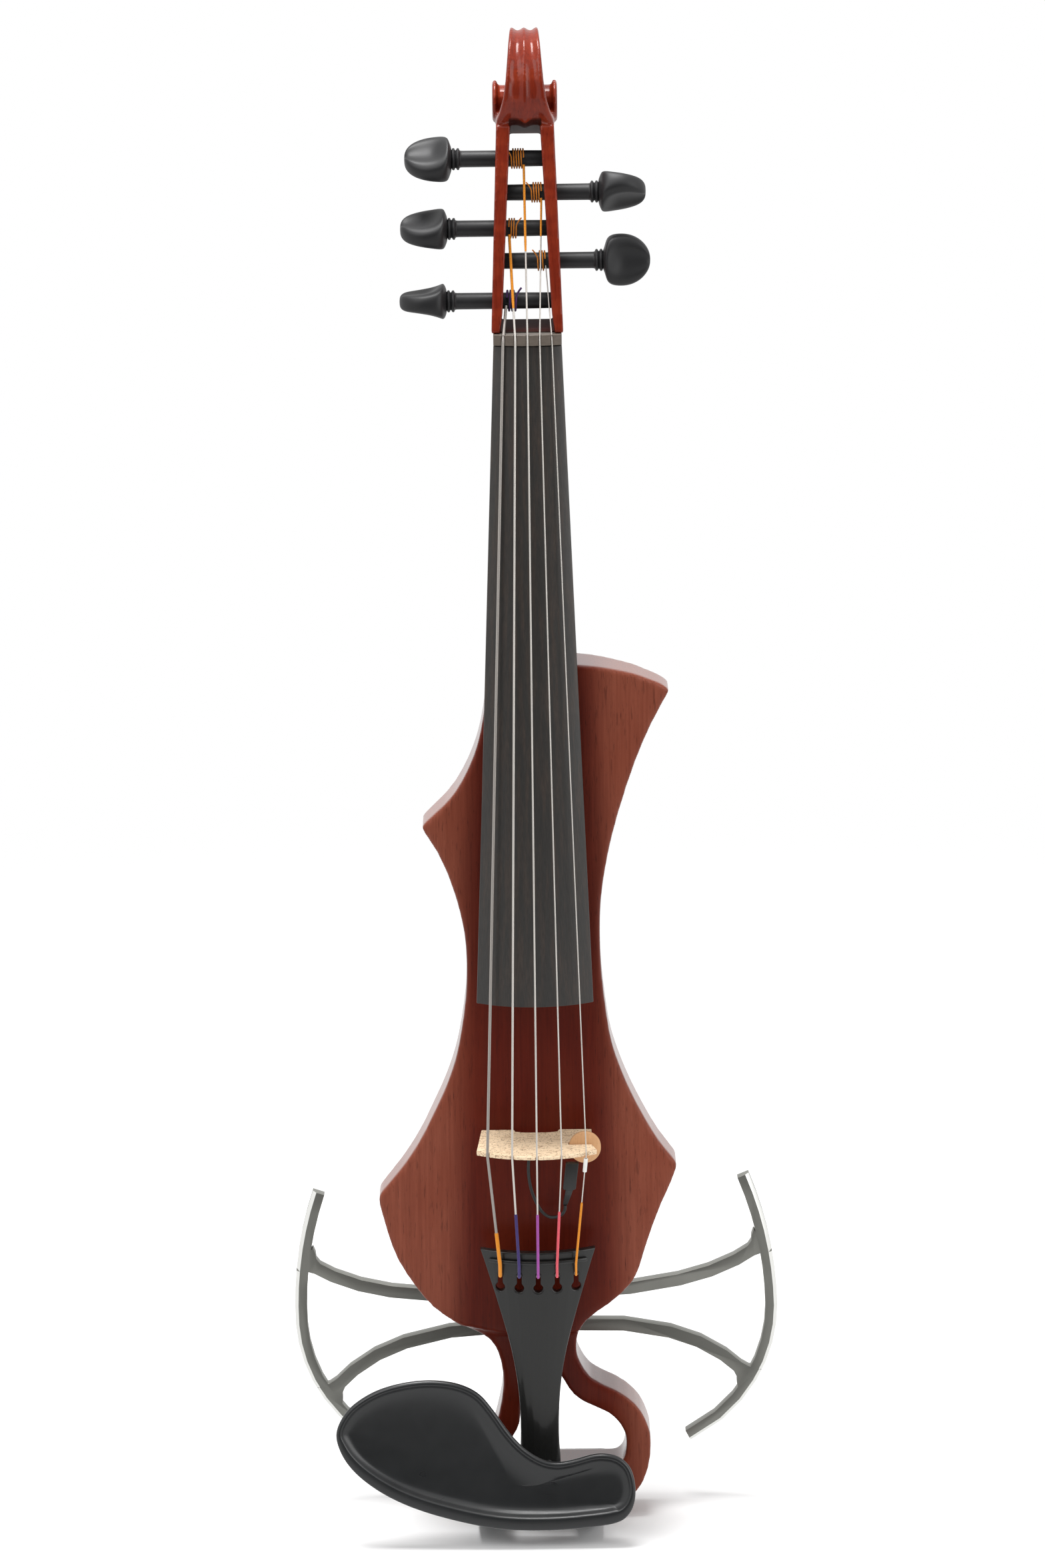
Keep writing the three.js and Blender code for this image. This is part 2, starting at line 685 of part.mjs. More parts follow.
// Pegbox: two cheeks open right through, leaning back from the nut
function makePegbox() {
  const cheekFront = (up) => cheekFrontAtNut + cheekLean * (up - pegboxBottom);
  const sideOutline = new THREE.Shape();
  sideOutline.moveTo(cheekFront(pegboxBottom), pegboxBottom);
  for (const upShare of [0.17, 0.33, 0.5, 0.67, 0.83, 1]) {
    const up = lerp(pegboxBottom, pegboxTop, upShare);
    sideOutline.lineTo(cheekFront(up) - cheekSwell * Math.sin(halfTurn * upShare), up);
  }
  sideOutline.lineTo(scrollCentreBack, scrollCentreUp);
  const bandStart = rad(scrollTurnShares[0][0]);
  const bandMiddle = scrollTurnShares[0][1] * scrollHeightAboveEye - scrollBandThickness / 2;
  sideOutline.lineTo(scrollCentreBack + bandMiddle * Math.cos(bandStart),
    scrollCentreUp + bandMiddle * Math.sin(bandStart));
  const cheekBackShares = [[0.87, 1.52], [0.79, 1.29], [0.704, 1.1], [0.58, 1], [0.36, 0.96], [0.16, 0.9],
    [0, 0.67]];
  sideOutline.splineThru(cheekBackShares.map(([upShare, backShare]) =>
    v2(backShare * cheekBack, lerp(pegboxBottom, pegboxTop, upShare))));
  sideOutline.closePath();
  const frontOutline = new THREE.Shape([
    v2(-pegboxHalfBottom, pegboxBottom), v2(pegboxHalfBottom, pegboxBottom),
    v2(pegboxHalfTop, scrollCentreUp), v2(-pegboxHalfTop, scrollCentreUp),
  ]);
  const topOutline = new THREE.Shape([
    v2(-pegboxHalfBottom, -overrun), v2(pegboxHalfBottom, -overrun), v2(pegboxHalfBottom, cheekBack * 0.7),
    v2(cheekHalfAtScroll, 2 * cheekBack), v2(-cheekHalfAtScroll, 2 * cheekBack),
      v2(-pegboxHalfBottom, cheekBack * 0.7),
  ]);
  const whole = plateYZ(sideOutline, -pegboxHalfBottom, pegboxHalfBottom, 2)
    .intersect(plateXY(topOutline, pegboxBottom - overrun, scrollCentreUp + overrun))
    .intersect(plateXZ(frontOutline, -overrun, 2 * cheekBack));
  const windowFront = new THREE.Shape([
    v2(-windowHalfBottom, pegboxBottom - overrun), v2(windowHalfBottom, pegboxBottom - overrun),
    v2(windowHalfBottom, pegboxBottom), v2(windowHalfAbove, windowFlareTop), v2(windowHalfTop, windowTop),
    v2(windowHalfTop, scrollCentreUp), v2(-windowHalfTop, scrollCentreUp),
    v2(-windowHalfTop, windowTop), v2(-windowHalfAbove, windowFlareTop), v2(-windowHalfBottom, pegboxBottom),
  ]);
  const windowSide = new THREE.Shape([
    v2(-overrun, pegboxBottom - overrun), v2(throatDepth, pegboxBottom - overrun),
      v2(throatDepth, pegboxBottom),
    v2(cheekBack, windowBottomBack), v2(2 * cheekBack, windowBottomBack),
    v2(2 * cheekBack, windowTop - windowTopFall), v2(windowRoofBack, windowTop),
    v2(windowRoofBack, scrollCentreUp), v2(-overrun, scrollCentreUp),
  ]);
  const window = plateXZ(windowFront, -overrun, 2 * cheekBack)
    .intersect(plateYZ(windowSide, -pegboxHalfBottom, pegboxHalfBottom));
  return whole.subtract(window);
}

// Scroll: one turn of a fluted band that winds from the pegbox's back over the top to the eye.
// Each row gives the angle in degrees from straight back, and shares for radius and half width.
const scrollTurnShares = [
  [-38, 0.8, 0.69], [-15, 0.85, 0.57], [10, 0.89, 0.52], [35, 0.95, 0.5], [60, 1, 0.49],
  [85, 1, 0.49], [110, 0.93, 0.54], [130, 0.84, 0.59], [150, 0.74, 0.65], [170, 0.66, 0.74],
  [188, 0.61, 0.86],
  [203, 0.58, 0.98], [216, 0.52, 1], [232, 0.43, 1], [250, 0.36, 0.98], [270, 0.3, 0.95],
];

function scrollRing([angle, radiusShare, widthShare]) {
  const radius = radiusShare * scrollHeightAboveEye;
  const half = widthShare * scrollHalfWidest;
  const way = v3(0, Math.cos(rad(angle)), Math.sin(rad(angle)));
  const centre = v3(0, scrollCentreBack, scrollCentreUp);
  const inner = -Math.min(scrollBandThickness, radius - eyeRadius / 2);
  const sectionShares = [
    [-1, -0.6], [-0.88, 0.15], [-0.72, -0.15], [-0.45, -1], [-0.16, -0.35], [0, 0.1],
    [0.16, -0.35], [0.45, -1], [0.72, -0.15], [0.88, 0.15], [1, -0.6],
  ];
  const depth = lerp(fluteDepth, fluteDepthAtLip, THREE.MathUtils.smoothstep(widthShare, 0.6, 1));
  const ring = sectionShares.map(([acrossShare, deepShare]) =>
    centre.clone().add(v3(acrossShare * half, 0, 0)).addScaledVector(way, radius + deepShare * depth));
  ring.push(centre.clone().add(v3(half, 0, 0)).addScaledVector(way, radius + inner));
  ring.push(centre.clone().add(v3(-half, 0, 0)).addScaledVector(way, radius + inner));
  return ring;
}

function makeScroll() {
  const spiral = scrollTurnShares.map(([angle, radiusShare]) => {
    const radius = radiusShare * scrollHeightAboveEye - scrollBandThickness / 2;
    return v2(scrollCentreBack + radius * Math.cos(rad(angle)),
      scrollCentreUp + radius * Math.sin(rad(angle)));
  });
  const core = plateYZ(new THREE.Shape(spiral), -coreHalfWidth, coreHalfWidth);
  const earEnd = [
    [earHalfWidth, eyeRadius - earChamfer], [earHalfWidth - earChamfer / 2, eyeRadius],
    [earHalfWidth - earRim, eyeRadius], [earHalfWidth - earRim - earChamfer / 2, eyeRadius - earChannel],
  ];
  const ear = [...earEnd.map(([along, radius]) => [-along, radius]), ...earEnd.reverse()];
  const eye = turned(ear, v3(0, scrollCentreBack, scrollCentreUp), v3(1, 0, 0), 16);
  return join([loft(scrollTurnShares.map(scrollRing)), core, eye]);
}

const pegCentre = (peg) => v3(0, pegBackAtNut + pegLean * peg.up, peg.up);

function makeNeck() {
  const holes = pegs.map((peg) => rod(pegCentre(peg).setX(-pegHeadOut), v3(1, 0, 0), 2 * pegHeadOut,
    pegShaftDiameter / 2 + gap, pegSides));
  const carved = join([makeNeckShaft(), makePegbox(), makeScroll()]);
  add('neck', cut(carved, holes), varnishedMaple);
}

// Fingerboard: arched across, wider towards the bridge, with a flat under the lowest string
function fingerboardRing(down, half, topHeight, under) {
  const facet = (lowStringFacet * half) / fingerboardHalfAtEnd;
  const steps = 12;
  const ring = [];
  for (let i = 0; i <= steps; i += 1) {
    const across = lerp(-half + facet, half, i / steps);
    ring.push(v3(across, -topHeight + archDrop(across), -down));
  }
  ring.unshift(v3(-half, -topHeight + archDrop(half), -down));
  ring.push(v3(half, under, -down), v3(-half, under, -down));
  return ring;
}

function makeFingerboard() {
  add('fingerboard', loft([
    fingerboardRing(0, neckHalfAtNut, fingerboardTopAtNut, fingerboardUnderAtNut),
    fingerboardRing(fingerboardLength, fingerboardHalfAtEnd, fingerboardTopAtEnd, fingerboardUnderAtEnd),
  ]), ebony);
}

// Strings: where each one runs, from its winding over nut, bridge and tailpiece to its ball
const spread = (span, i) => span * (i / (stringCount - 1) - 0.5);
const atNut = (i) => v3(spread(nutSpan, i), -nutStringHeight + archDrop(spread(nutSpan, i)),
  gap + nutThickness / 2);
const atBridge = (i) =>
  v3(spread(bridgeSpan, i), -bridgeHeight + archDrop(spread(bridgeSpan, i)), -stopLength);
const tailSlope = (tailpieceFrontAtTop - tailpieceFrontAtEnd) / tailpieceLength;
const tailArchAt = (down) =>
  lerp(tailpieceArch, tailpieceArchAtEnd, (down - tailpieceTopDown) / tailpieceLength);
const tailFrontAt = (across, down) =>
  -tailpieceFrontAtTop + tailSlope * (down - tailpieceTopDown) + archDrop(across, tailArchAt(down));
const atFret = (i) => {
  const across = spread(tailSpan, i);
  return v3(across, tailFrontAt(across, fretDown) - fretHeight - stringDiameters[i] / 2 - gap,
    -fretDown - fretThickness / 2);
};
const slotTopDown = keyholeDown - keyslotLength;
const atSlot = (i) => {
  const across = spread(tailSpan, i);
  return v3(across, tailFrontAt(across, slotTopDown + keyslotWidth) - gap, -slotTopDown - keyslotWidth);
};
const atBall = (i) => {
  const across = spread(tailSpan, i);
  const under = tailFrontAt(across, slotTopDown + keyslotWidth) + tailpieceWall + gap + ballDiameter / 2;
  return v3(across, under, -slotTopDown - keyslotWidth);
};

const windingOf = (peg) => {
  const thickness = peg.string === 0 ? lowWindingThickness : windingThickness;
  return {
    thickness,
    pitch: thickness + windingSpace,
    radius: pegShaftDiameter / 2 + gap + thickness / 2,
  };
};

// The angle round a peg, from its front over its top, where a line from the nut just touches
function touchAngle(peg, radius) {
  const toPeg = pegCentre(peg).sub(atNut(peg.string));
  return Math.acos(radius / Math.hypot(toPeg.y, toPeg.z)) - Math.atan2(toPeg.z, toPeg.y);
}

function windingPoint(peg, radius, angle, across) {
  return pegCentre(peg).add(v3(across, -radius * Math.cos(angle), radius * Math.sin(angle)));
}

// Where a string's straight stretch ends, just clear of everything that turns with its peg
function atPeg(i) {
  const peg = pegs.find((one) => one.string === i);
  const { radius, thickness } = windingOf(peg);
  const touch = windingPoint(peg, radius, touchAngle(peg, radius), peg.windAt);
  const clear = radius + thickness / 2 + stringDiameters[i] / 2 + gap;
  const back = Math.sqrt(clear ** 2 - radius ** 2);
  return touch.addScaledVector(atNut(i).sub(touch).normalize(), back);
}

function makeStrings() {
  for (let i = 0; i < stringCount; i += 1) {
    const route = [atPeg(i), atNut(i), atBridge(i), atFret(i), atSlot(i), atBall(i)];
    const ball = new THREE.SphereGeometry(ballDiameter / 2, 8, 5);
    const centre = atBall(i);
    ball.translate(centre.x, centre.y, centre.z);
    add(`string_${i + 1}`, wire(route, stringDiameters[i] / 2).add(solid(ball)), wireSteel);
  }
}

// Nut: a strip across the neck with a groove for each string
function makeNut() {
  const crown = new THREE.Shape();
  const steps = 10;
  const low = fingerboardUnderAtNut;
  crown.moveTo(-neckHalfAtNut, low);
  for (let i = 0; i <= steps; i += 1) {
    const across = lerp(-neckHalfAtNut, neckHalfAtNut, i / steps);
    crown.lineTo(across, -nutStringHeight + archDrop(across));
  }
  crown.lineTo(neckHalfAtNut, low);
  crown.closePath();
  const blank = plateXY(crown, gap, gap + nutThickness);
  const grooves = stringDiameters.map((diameter, i) => {
    const back = atNut(i).sub(atPeg(i)).normalize();
    const front = atNut(i).sub(atBridge(i)).normalize();
    return wire([atNut(i).addScaledVector(back, -2 * overrun), atNut(i),
      atNut(i).addScaledVector(front, -2 * overrun)],
      diameter / 2 + gap, 6);
  });
  add('nut', cut(blank, grooves), greyNut);
}

// Bridge: feet on the deck, a low arch between them, a slot in the treble wing, thinner at its crown
const bridgeFootShares = [[0.41, 0], [1, 0]];
const bridgeArchShares = [[0.41, 0], [0.38, 0.07], [0.25, 0.1], [0, 0.11]];

function makeBridge() {
  const slotLow = wingSlotHeight - wingSlotThickness / 2;
  const slotHigh = wingSlotHeight + wingSlotThickness / 2;
  const foot = ([acrossShare, upShare]) => v2(acrossShare * bridgeHalfFeet,
    -lerp(gap, bridgeHeight, upShare));
  const wing = [
    v2(bridgeHalfFeet, -slotLow), v2(discAcross - discDiameter / 2 - gap, -slotLow),
    v2(discAcross - discDiameter / 2 - gap, -slotHigh), v2(bridgeHalfFeet, -slotHigh),
  ];
  const crown = [];
  const steps = 10;
  for (let i = 0; i <= steps; i += 1) {
    const across = lerp(bridgeHalfCrown, -bridgeHalfCrown, i / steps);
    crown.push(v2(across, -bridgeHeight + archDrop(across)));
  }
  const feet = bridgeFootShares.map(foot);
  const mirrored = (points) => points.map((point) => v2(-point.x, point.y)).reverse();
  const arch = bridgeArchShares.map(foot);
  const outline = [...feet, ...wing, ...crown, ...mirrored(feet),
    ...arch.slice(1, -1).map((p) => v2(-p.x, p.y)), arch[arch.length - 1], ...arch.slice(1, -1).reverse()];
  const back = -stopLength - bridgeCrownThickness / 2;
  const blank = plateXY(new THREE.Shape(outline), back, back + bridgeFootThickness);
  const wedge = new THREE.Shape([
    v2(overrun, back + bridgeFootThickness), v2(0, back + bridgeFootThickness),
    v2(-bridgeHeight, back + bridgeCrownThickness), v2(-bridgeHeight - overrun, back + bridgeCrownThickness),
    v2(-bridgeHeight - overrun, back + bridgeFootThickness + overrun),
      v2(overrun, back + bridgeFootThickness + overrun),
  ]);
  const grooves = stringDiameters.map((diameter, i) => {
    const front = atNut(i).sub(atBridge(i)).normalize();
    const behind = atFret(i).sub(atBridge(i)).normalize();
    const extra = i === stringCount - 1 ? (sleeveDiameter - diameter) / 2 : 0;
    return wire([atBridge(i).addScaledVector(front, overrun), atBridge(i),
      atBridge(i).addScaledVector(behind, overrun)],
      diameter / 2 + extra + gap, 6);
  });
  add('bridge', cut(blank, [plateYZ(wedge, -2 * bridgeHalfCrown, 2 * bridgeHalfCrown), ...grooves]),
    bridgeMaple);
}

// Pickup: a thin wooden disc let into the treble wing, with a plug on its tailpiece side
const discCentre = v3(discAcross, -wingSlotHeight, -stopLength);
const plugTop = discCentre.clone().add(v3(-plugWidth, 0, -discDiameter / 2 - gap));
const plugEnd = plugTop.clone().add(v3(-plugWidth / 4, 0, -plugLength));
const bootEnd = plugEnd.clone().add(v3(-plugWidth / 3, bootBend, -plugTaperLength));

function makePickup() {
  add('pickup_disc', rod(discCentre.clone().add(v3(0, -discThickness / 2, 0)), v3(0, 1, 0), discThickness,
    discDiameter / 2, 24), discMaple);
  const ring = (centre, width, thickness) => {
    const corner = Math.min(width, thickness) / 4;
    const half = v2(width / 2, thickness / 2);
    return [
      [-half.x, -half.y + corner], [-half.x + corner, -half.y], [half.x - corner, -half.y],
      [half.x, -half.y + corner],
      [half.x, half.y - corner], [half.x - corner, half.y], [-half.x + corner, half.y],
      [-half.x, half.y - corner],
    ].map(([x, y]) => centre.clone().add(v3(x, y, 0)));
  };
  add('pickup_plug', loft([
    ring(plugTop, plugWidth, plugThickness), ring(plugEnd, plugWidth, plugThickness),
    ring(plugEnd.clone().add(v3(0, 0, -gap)), plugWidth / 2, plugThickness / 1.4),
    ring(bootEnd, leadDiameter * 1.5, leadDiameter * 1.5),
  ]), blackPlastic);
}

// The pickup's lead, from the plug's end round to the hole behind the bridge: points of its route,
// the last number of each below the bridge
const leadPoints = [
  [bootEnd.x, bootEnd.y, -bootEnd.z + 2 * gap - stopLength],
  [11.2, -11.2, 28.6],
  [9.8, -9.9, 31],
  [7.4, -8.6, 32.4],
  [4.6, -7.4, 32.5],
  [2, -6.4, 30.8],
  [-0.4, -5.5, 27],
  [-2.2, -4.9, 22.4],
  [-3.2, -4.8, 17.4],
  [-3.5, -5, 12.8],
  [-3.3, -5, 9],
  [-3.05, -4, 6.6],
  [leadHoleAcross, -2.2, leadHoleSetback],
  [leadHoleAcross, 1, leadHoleSetback],
  [leadHoleAcross, boardBayFront + gap, leadHoleSetback],
];

function makeLead() {
  const places = leadPoints.map(([across, back, below]) => v3(across, back, -stopLength - below));
  const route = new THREE.CatmullRomCurve3(places, false, 'centripetal');
  const section = new THREE.Shape();
  section.absarc(0, 0, leadDiameter / 2, 0, 2 * halfTurn);
  const geometry = new THREE.ExtrudeGeometry(section, {
    steps: leadSteps, extrudePath: route, curveSegments: leadSides / 2, bevelEnabled: false,
  });
  add('pickup_lead', solid(geometry), blackPlastic);
  const flange = grommetDiameter / 2 + grommetRise;
  const bore = leadDiameter / 2 + gap;
  const ringProfile = [v2(bore, -grommetRise), v2(flange, -grommetRise), v2(flange, -grommetRise / 4),
    v2(grommetDiameter / 2, -grommetRise / 4), v2(grommetDiameter / 2, overrun), v2(bore, overrun),
    v2(bore, -grommetRise)];
  const grommet = new THREE.LatheGeometry(ringProfile, 12);
  grommet.translate(leadHoleAcross, 0, 0);
  grommet.translate(0, -grommetRise / 4, -leadHoleDown);
  add('lead_grommet', outward(grommet), blackPlastic);
}

// White tube that keeps the thinnest string from cutting into the bridge
function makeStringSleeve() {
  const last = stringCount - 1;
  const along = atFret(last).sub(atBridge(last)).normalize();
  const start = atBridge(last).addScaledVector(along, bridgeCrownThickness);
  const outer = rod(start, along, sleeveLength, sleeveDiameter / 2, 10);
  const bore = rod(start.clone().addScaledVector(along, -overrun), along, sleeveLength + 2 * overrun,
    sleeveDiameter / 2 - sleeveWall, 10);
  add('string_sleeve', outer.subtract(bore), whiteTube);
}

// Tailpiece: an arched plate, wide at the strings and narrow at the gut
const tailpieceShares = [
  [1, 0], [0.97, 0.02], [0.82, 0.14], [0.64, 0.29], [0.49, 0.43], [0.385, 0.58], [0.34, 0.72], [0.335, 0.86],
  [0.36, 0.96], [0.33, 1],
];

function makeTailpiece() {
  const place = ([acrossShare, downShare]) =>
    v2(acrossShare * tailpieceHalfWidth, -tailpieceTopDown - downShare * tailpieceLength);
  const right = tailpieceShares.map(place);
  const left = right.map((point) => v2(-point.x, point.y)).reverse();
  const outline = new THREE.Shape();
  outline.moveTo(left[left.length - 1].x, left[left.length - 1].y);
  outline.lineTo(right[0].x, right[0].y);
  outline.splineThru(right.slice(1));
  outline.lineTo(left[0].x, left[0].y);
  outline.splineThru(left.slice(1));
  outline.closePath();
  const blank = plateXZ(outline, -2 * bridgeHeight, bodyDepth);
  const arc = (down, half, depth) => {
    const steps = 10;
    return Array.from({ length: steps + 1 }, (_, i) => {
      const across = lerp(-half, half, i / steps);
      return v3(across, tailFrontAt(across, down) + depth, -down);
    });
  };
  const ends = [[tailpieceTopDown - gap, tailpieceHalfWidth + gap],
    [tailpieceTopDown + tailpieceLength + gap, tailpieceEndHalf]];
  const shell = ends.map(([down, half]) => [...arc(down, half, 0), ...arc(down, half, tailpieceWall).reverse()]);
  const tools = [];
  for (let i = 0; i < stringCount; i += 1) {
    const across = spread(tailSpan, i);
    tools.push(rod(v3(across, -2 * bridgeHeight, -keyholeDown), v3(0, 1, 0), 3 * bridgeHeight,
      keyholeDiameter / 2, 10));
    tools.push(block(across - keyslotWidth / 2, across + keyslotWidth / 2, -2 * bridgeHeight, bodyDepth,
      -keyholeDown, -slotTopDown));
  }
  const gutHoleDown = tailpieceTopDown + tailpieceLength - 2 * tailgutDiameter;
  for (const side of [-1, 1]) {
    tools.push(rod(v3((side * tailgutSpread) / 2, -2 * bridgeHeight, -gutHoleDown), v3(0, 1, 0),
      3 * bridgeHeight,
      tailgutDiameter / 2 + gap, 8));
  }
  add('tailpiece', cut(loft(shell).intersect(blank), tools), blackWood);
}

// The raised ridge that the strings bear on near the tailpiece's top edge
function makeTailpieceFret() {
  const half = tailpieceHalfWidth - overrun + fretHeight;
  const steps = 12;
  const across = Array.from({ length: steps + 1 }, (_, i) => lerp(-half, half, i / steps));
  const top = across.map((x) => v2(x, tailFrontAt(x, fretDown) - fretHeight));
  const under = across.map((x) => v2(x, tailFrontAt(x, fretDown - fretThickness / 2) - gap)).reverse();
  add('tailpiece_fret', plateXY(new THREE.Shape([...top, ...under]), -fretDown - fretThickness / 2,
    -fretDown + fretThickness / 2), ebony);
}

// End button in the tail bar, the gut that loops round it, and the saddle that the gut bends over
const buttonCentreBack = (loopSetback + bodyDepth) / 2;

function makeTailFittings() {
  const head = buttonDiameter / 2;
  const stem = buttonStemDiameter / 2;
  const neckRadius = stem + gap;
  add('end_button', turned([
    [0, head * 0.8], [buttonHeadLength * 0.15, head], [buttonHeadLength * 0.45, head],
    [buttonHeadLength * 0.6, neckRadius], [buttonHeadLength, neckRadius], [buttonHeadLength, stem],
    [buttonHeadLength + buttonStemLength, stem],
  ], v3(0, buttonCentreBack, -barBottomDown - buttonHeadLength - gap), v3(0, 0, 1), 14), blackWood);

  const half = tailgutSpread / 2;
  const end = tailpieceTopDown + tailpieceLength;
  const gutHoleDown = end - 2 * tailgutDiameter;
  const offFront = -saddleProud + loopSetback - tailgutDiameter / 2 - gap;
  const underBar = -barBottomDown - tailgutDiameter / 2 - gap;
  const loopRadius = neckRadius + tailgutDiameter / 2 + gap;
  const bend = saddleRound + gap + tailgutDiameter / 2;
  const reach = (side) => [
    v3(side * half, tailFrontAt(half, gutHoleDown) + tailpieceWall + tailgutDiameter, -gutHoleDown),
    v3(side * half, offFront, -barTopDown - gap),
    ...[0, 1, 2, 3].map((step) => v3(side * half, offFront + bend * (1 - Math.cos((halfTurn * step) / 6)),
      underBar + bend * (1 - Math.sin((halfTurn * step) / 6)))),
    v3(side * loopRadius, buttonCentreBack - 2 * tailgutDiameter, underBar),
  ];
  const steps = 6;
  const around = Array.from({ length: steps + 1 }, (_, i) => {
    const angle = halfTurn * (i / steps);
    return v3(-loopRadius * Math.cos(angle), buttonCentreBack + loopRadius * Math.sin(angle), underBar);
  });
  add('tailgut', wire([...reach(-1), ...around, ...reach(1).reverse()], tailgutDiameter / 2, 8),
    blackPlastic);

  const saddleFront = loopSetback - saddleProud;
  const crown = new THREE.Shape();
  crown.moveTo(loopSetback + saddleDepth, -barBottomDown);
  crown.lineTo(loopSetback + saddleDepth, -barBottomDown + saddleHeight);
  crown.lineTo(saddleFront + saddleProud / 2, -barBottomDown + saddleHeight);
  crown.lineTo(saddleFront, -barBottomDown + saddleHeight - saddleProud / 2);
  crown.lineTo(saddleFront, -barBottomDown + saddleRound);
  crown.absarc(saddleFront + saddleRound, -barBottomDown + saddleRound, saddleRound, halfTurn,
    1.5 * halfTurn);
  crown.closePath();
  add('saddle', plateYZ(crown, -saddleWidth / 2, saddleWidth / 2, 4), ebony);
}

// Pegs: a tapering shaft with two collar rings and a dished thumb piece
const thumbShares = [
  [0, 0.34, 0.52], [0.06, 0.72, 0.84], [0.16, 0.94, 1], [0.34, 1, 0.84], [0.54, 0.99, 0.6],
  [0.74, 0.87, 0.53], [0.9, 0.6, 0.46], [0.98, 0.3, 0.26],
];

function thumbPiece() {
  const sides = 10;
  const rings = thumbShares.map(([alongShare, wideShare, thickShare]) =>
    Array.from({ length: sides }, (_, i) => {
      const angle = (2 * halfTurn * i) / sides;
      return v3(alongShare * pegHeadLength, wideShare * pegHeadHalfWidth * Math.cos(angle),
        thickShare * pegHeadHalfThickness * Math.sin(angle));
    }));
  return loft(rings);
}

function makePeg(peg, i) {
  const shaft = pegShaftDiameter / 2;
  const collar = pegCollarDiameter / 2;
  const farCheek = lerp(pegboxHalfBottom, pegboxHalfTop, peg.up / pegboxTop);
  const step = pegCollarLength / 4;
  const profile = [
    [-step, shaft], [0, shaft * 0.9], [step * 0.5, collar], [step * 1.5, collar], [step * 2, shaft * 1.05],
    [step * 2.5, collar], [step * 3.5, collar], [step * 4, shaft],
    [peg.out + farCheek, pegEndDiameter / 2],
  ];
  const spindle = turned(profile, v3(-peg.out, 0, 0), v3(1, 0, 0), pegSides);
  const thumb = thumbPiece().rotate([0, 0, 180]).translate([-peg.out, 0, 0]);
  const whole = spindle.add(thumb).rotate([90 - peg.turn, 0, 0]);
  const centre = pegCentre(peg);
  const placed = peg.side < 0 ? whole : whole.rotate([0, 0, 180]);
  add(`peg_${i + 1}`, placed.translate([centre.x, centre.y, centre.z]), blackWood);
}

// The string's turns on a peg: one unbroken tube, its free end lifting off the shaft
function windingPath(peg) {
  const { radius, pitch } = windingOf(peg);
  const start = touchAngle(peg, radius);
  const count = peg.loops * windingSteps;
  const path = [];
  for (let i = 0; i <= count; i += 1) {
    const turnShare = i / windingSteps;
    path.push(windingPoint(peg, radius, start + 2 * halfTurn * turnShare,
      peg.windAt + peg.windWay * pitch * turnShare));
  }
  const last = path[count];
  const way = last.clone().sub(path[count - 1]).normalize();
  const off = last.clone().sub(pegCentre(peg)).setX(0).normalize();
  path.push(last.clone().addScaledVector(way, windingTail / 2).addScaledVector(off, windingTail / 8));
  path.push(last.clone().addScaledVector(way, windingTail).addScaledVector(off, windingTail / 3));
  return path;
}

// The least distance between ring points of places at least a third of a loop apart
function leastGap(rings) {
  const apart = windingSteps / 3;
  let least = Infinity;
  for (let a = 0; a < rings.length; a += 1) {
    for (let b = a + apart; b < rings.length; b += 1) {
      for (const p of rings[a]) {
        for (const q of rings[b]) least = Math.min(least, p.distanceTo(q));
      }
    }
  }
  return least;
}

function makeWinding(peg, i) {
  const { thickness } = windingOf(peg);
  const rings = wireRings(windingPath(peg), thickness / 2, windingSides);
  const least = leastGap(rings);
  console.log(`peg_winding_${i + 1}: least gap to itself ${least.toFixed(3)} mm`);
  add(`peg_winding_${i + 1}`, loft(rings), peg.string === 0 ? purpleSilk : orangeSilk);
}

// Chin rest: a dished plate over the tailpiece's end, on two pillars that stand on the tail bar
const chinWidth = chinRight - chinLeft;
const chinOutlineShares = [
  [0, 0.34], [0.035, 0.2], [0.09, 0.11], [0.16, 0.045], [0.26, 0.003], [0.345, 0], [0.42, 0.028],
  [0.48, 0.09],
  [0.528, 0.2], [0.584, 0.356], [0.635, 0.46], [0.692, 0.528], [0.737, 0.546], [0.785, 0.534], [0.875, 0.492],
  [0.94, 0.511], [0.98, 0.575], [0.998, 0.672], [1, 0.79], [0.985, 0.88], [0.95, 0.945], [0.83, 0.985],
  [0.69, 1], [0.545, 0.987], [0.4, 0.93], [0.256, 0.842], [0.148, 0.737], [0.062, 0.605], [0.016, 0.476],
];
const chinHeart = v2(chinLeft + 0.6 * chinWidth, -chinTopDown - 0.77 * chinHeight);
const chinRimY = (z) => -chinRimBack - chinTilt * (-z - chinTopDown);

function chinPoints(inset, scale, depth) {
  const places = chinOutlineShares.map(([acrossShare, downShare]) =>
    v2(chinLeft + acrossShare * chinWidth, -chinTopDown - downShare * chinHeight));
  const curve = new THREE.SplineCurve([...places, places[0]]);
  const steps = 34;
  const ring = curve.getPoints(steps).slice(0, steps);
  return ring.map((point, i) => {
    const along = ring[(i + 1) % steps].clone().sub(ring[(i + steps - 1) % steps]).normalize();
    const inward = v2(along.y, -along.x);
    const moved = point.clone().addScaledVector(inward, inset);
    const drawn = chinHeart.clone().lerp(moved, scale);
    return v3(drawn.x, chinRimY(drawn.y) + depth, drawn.y);
  });
}

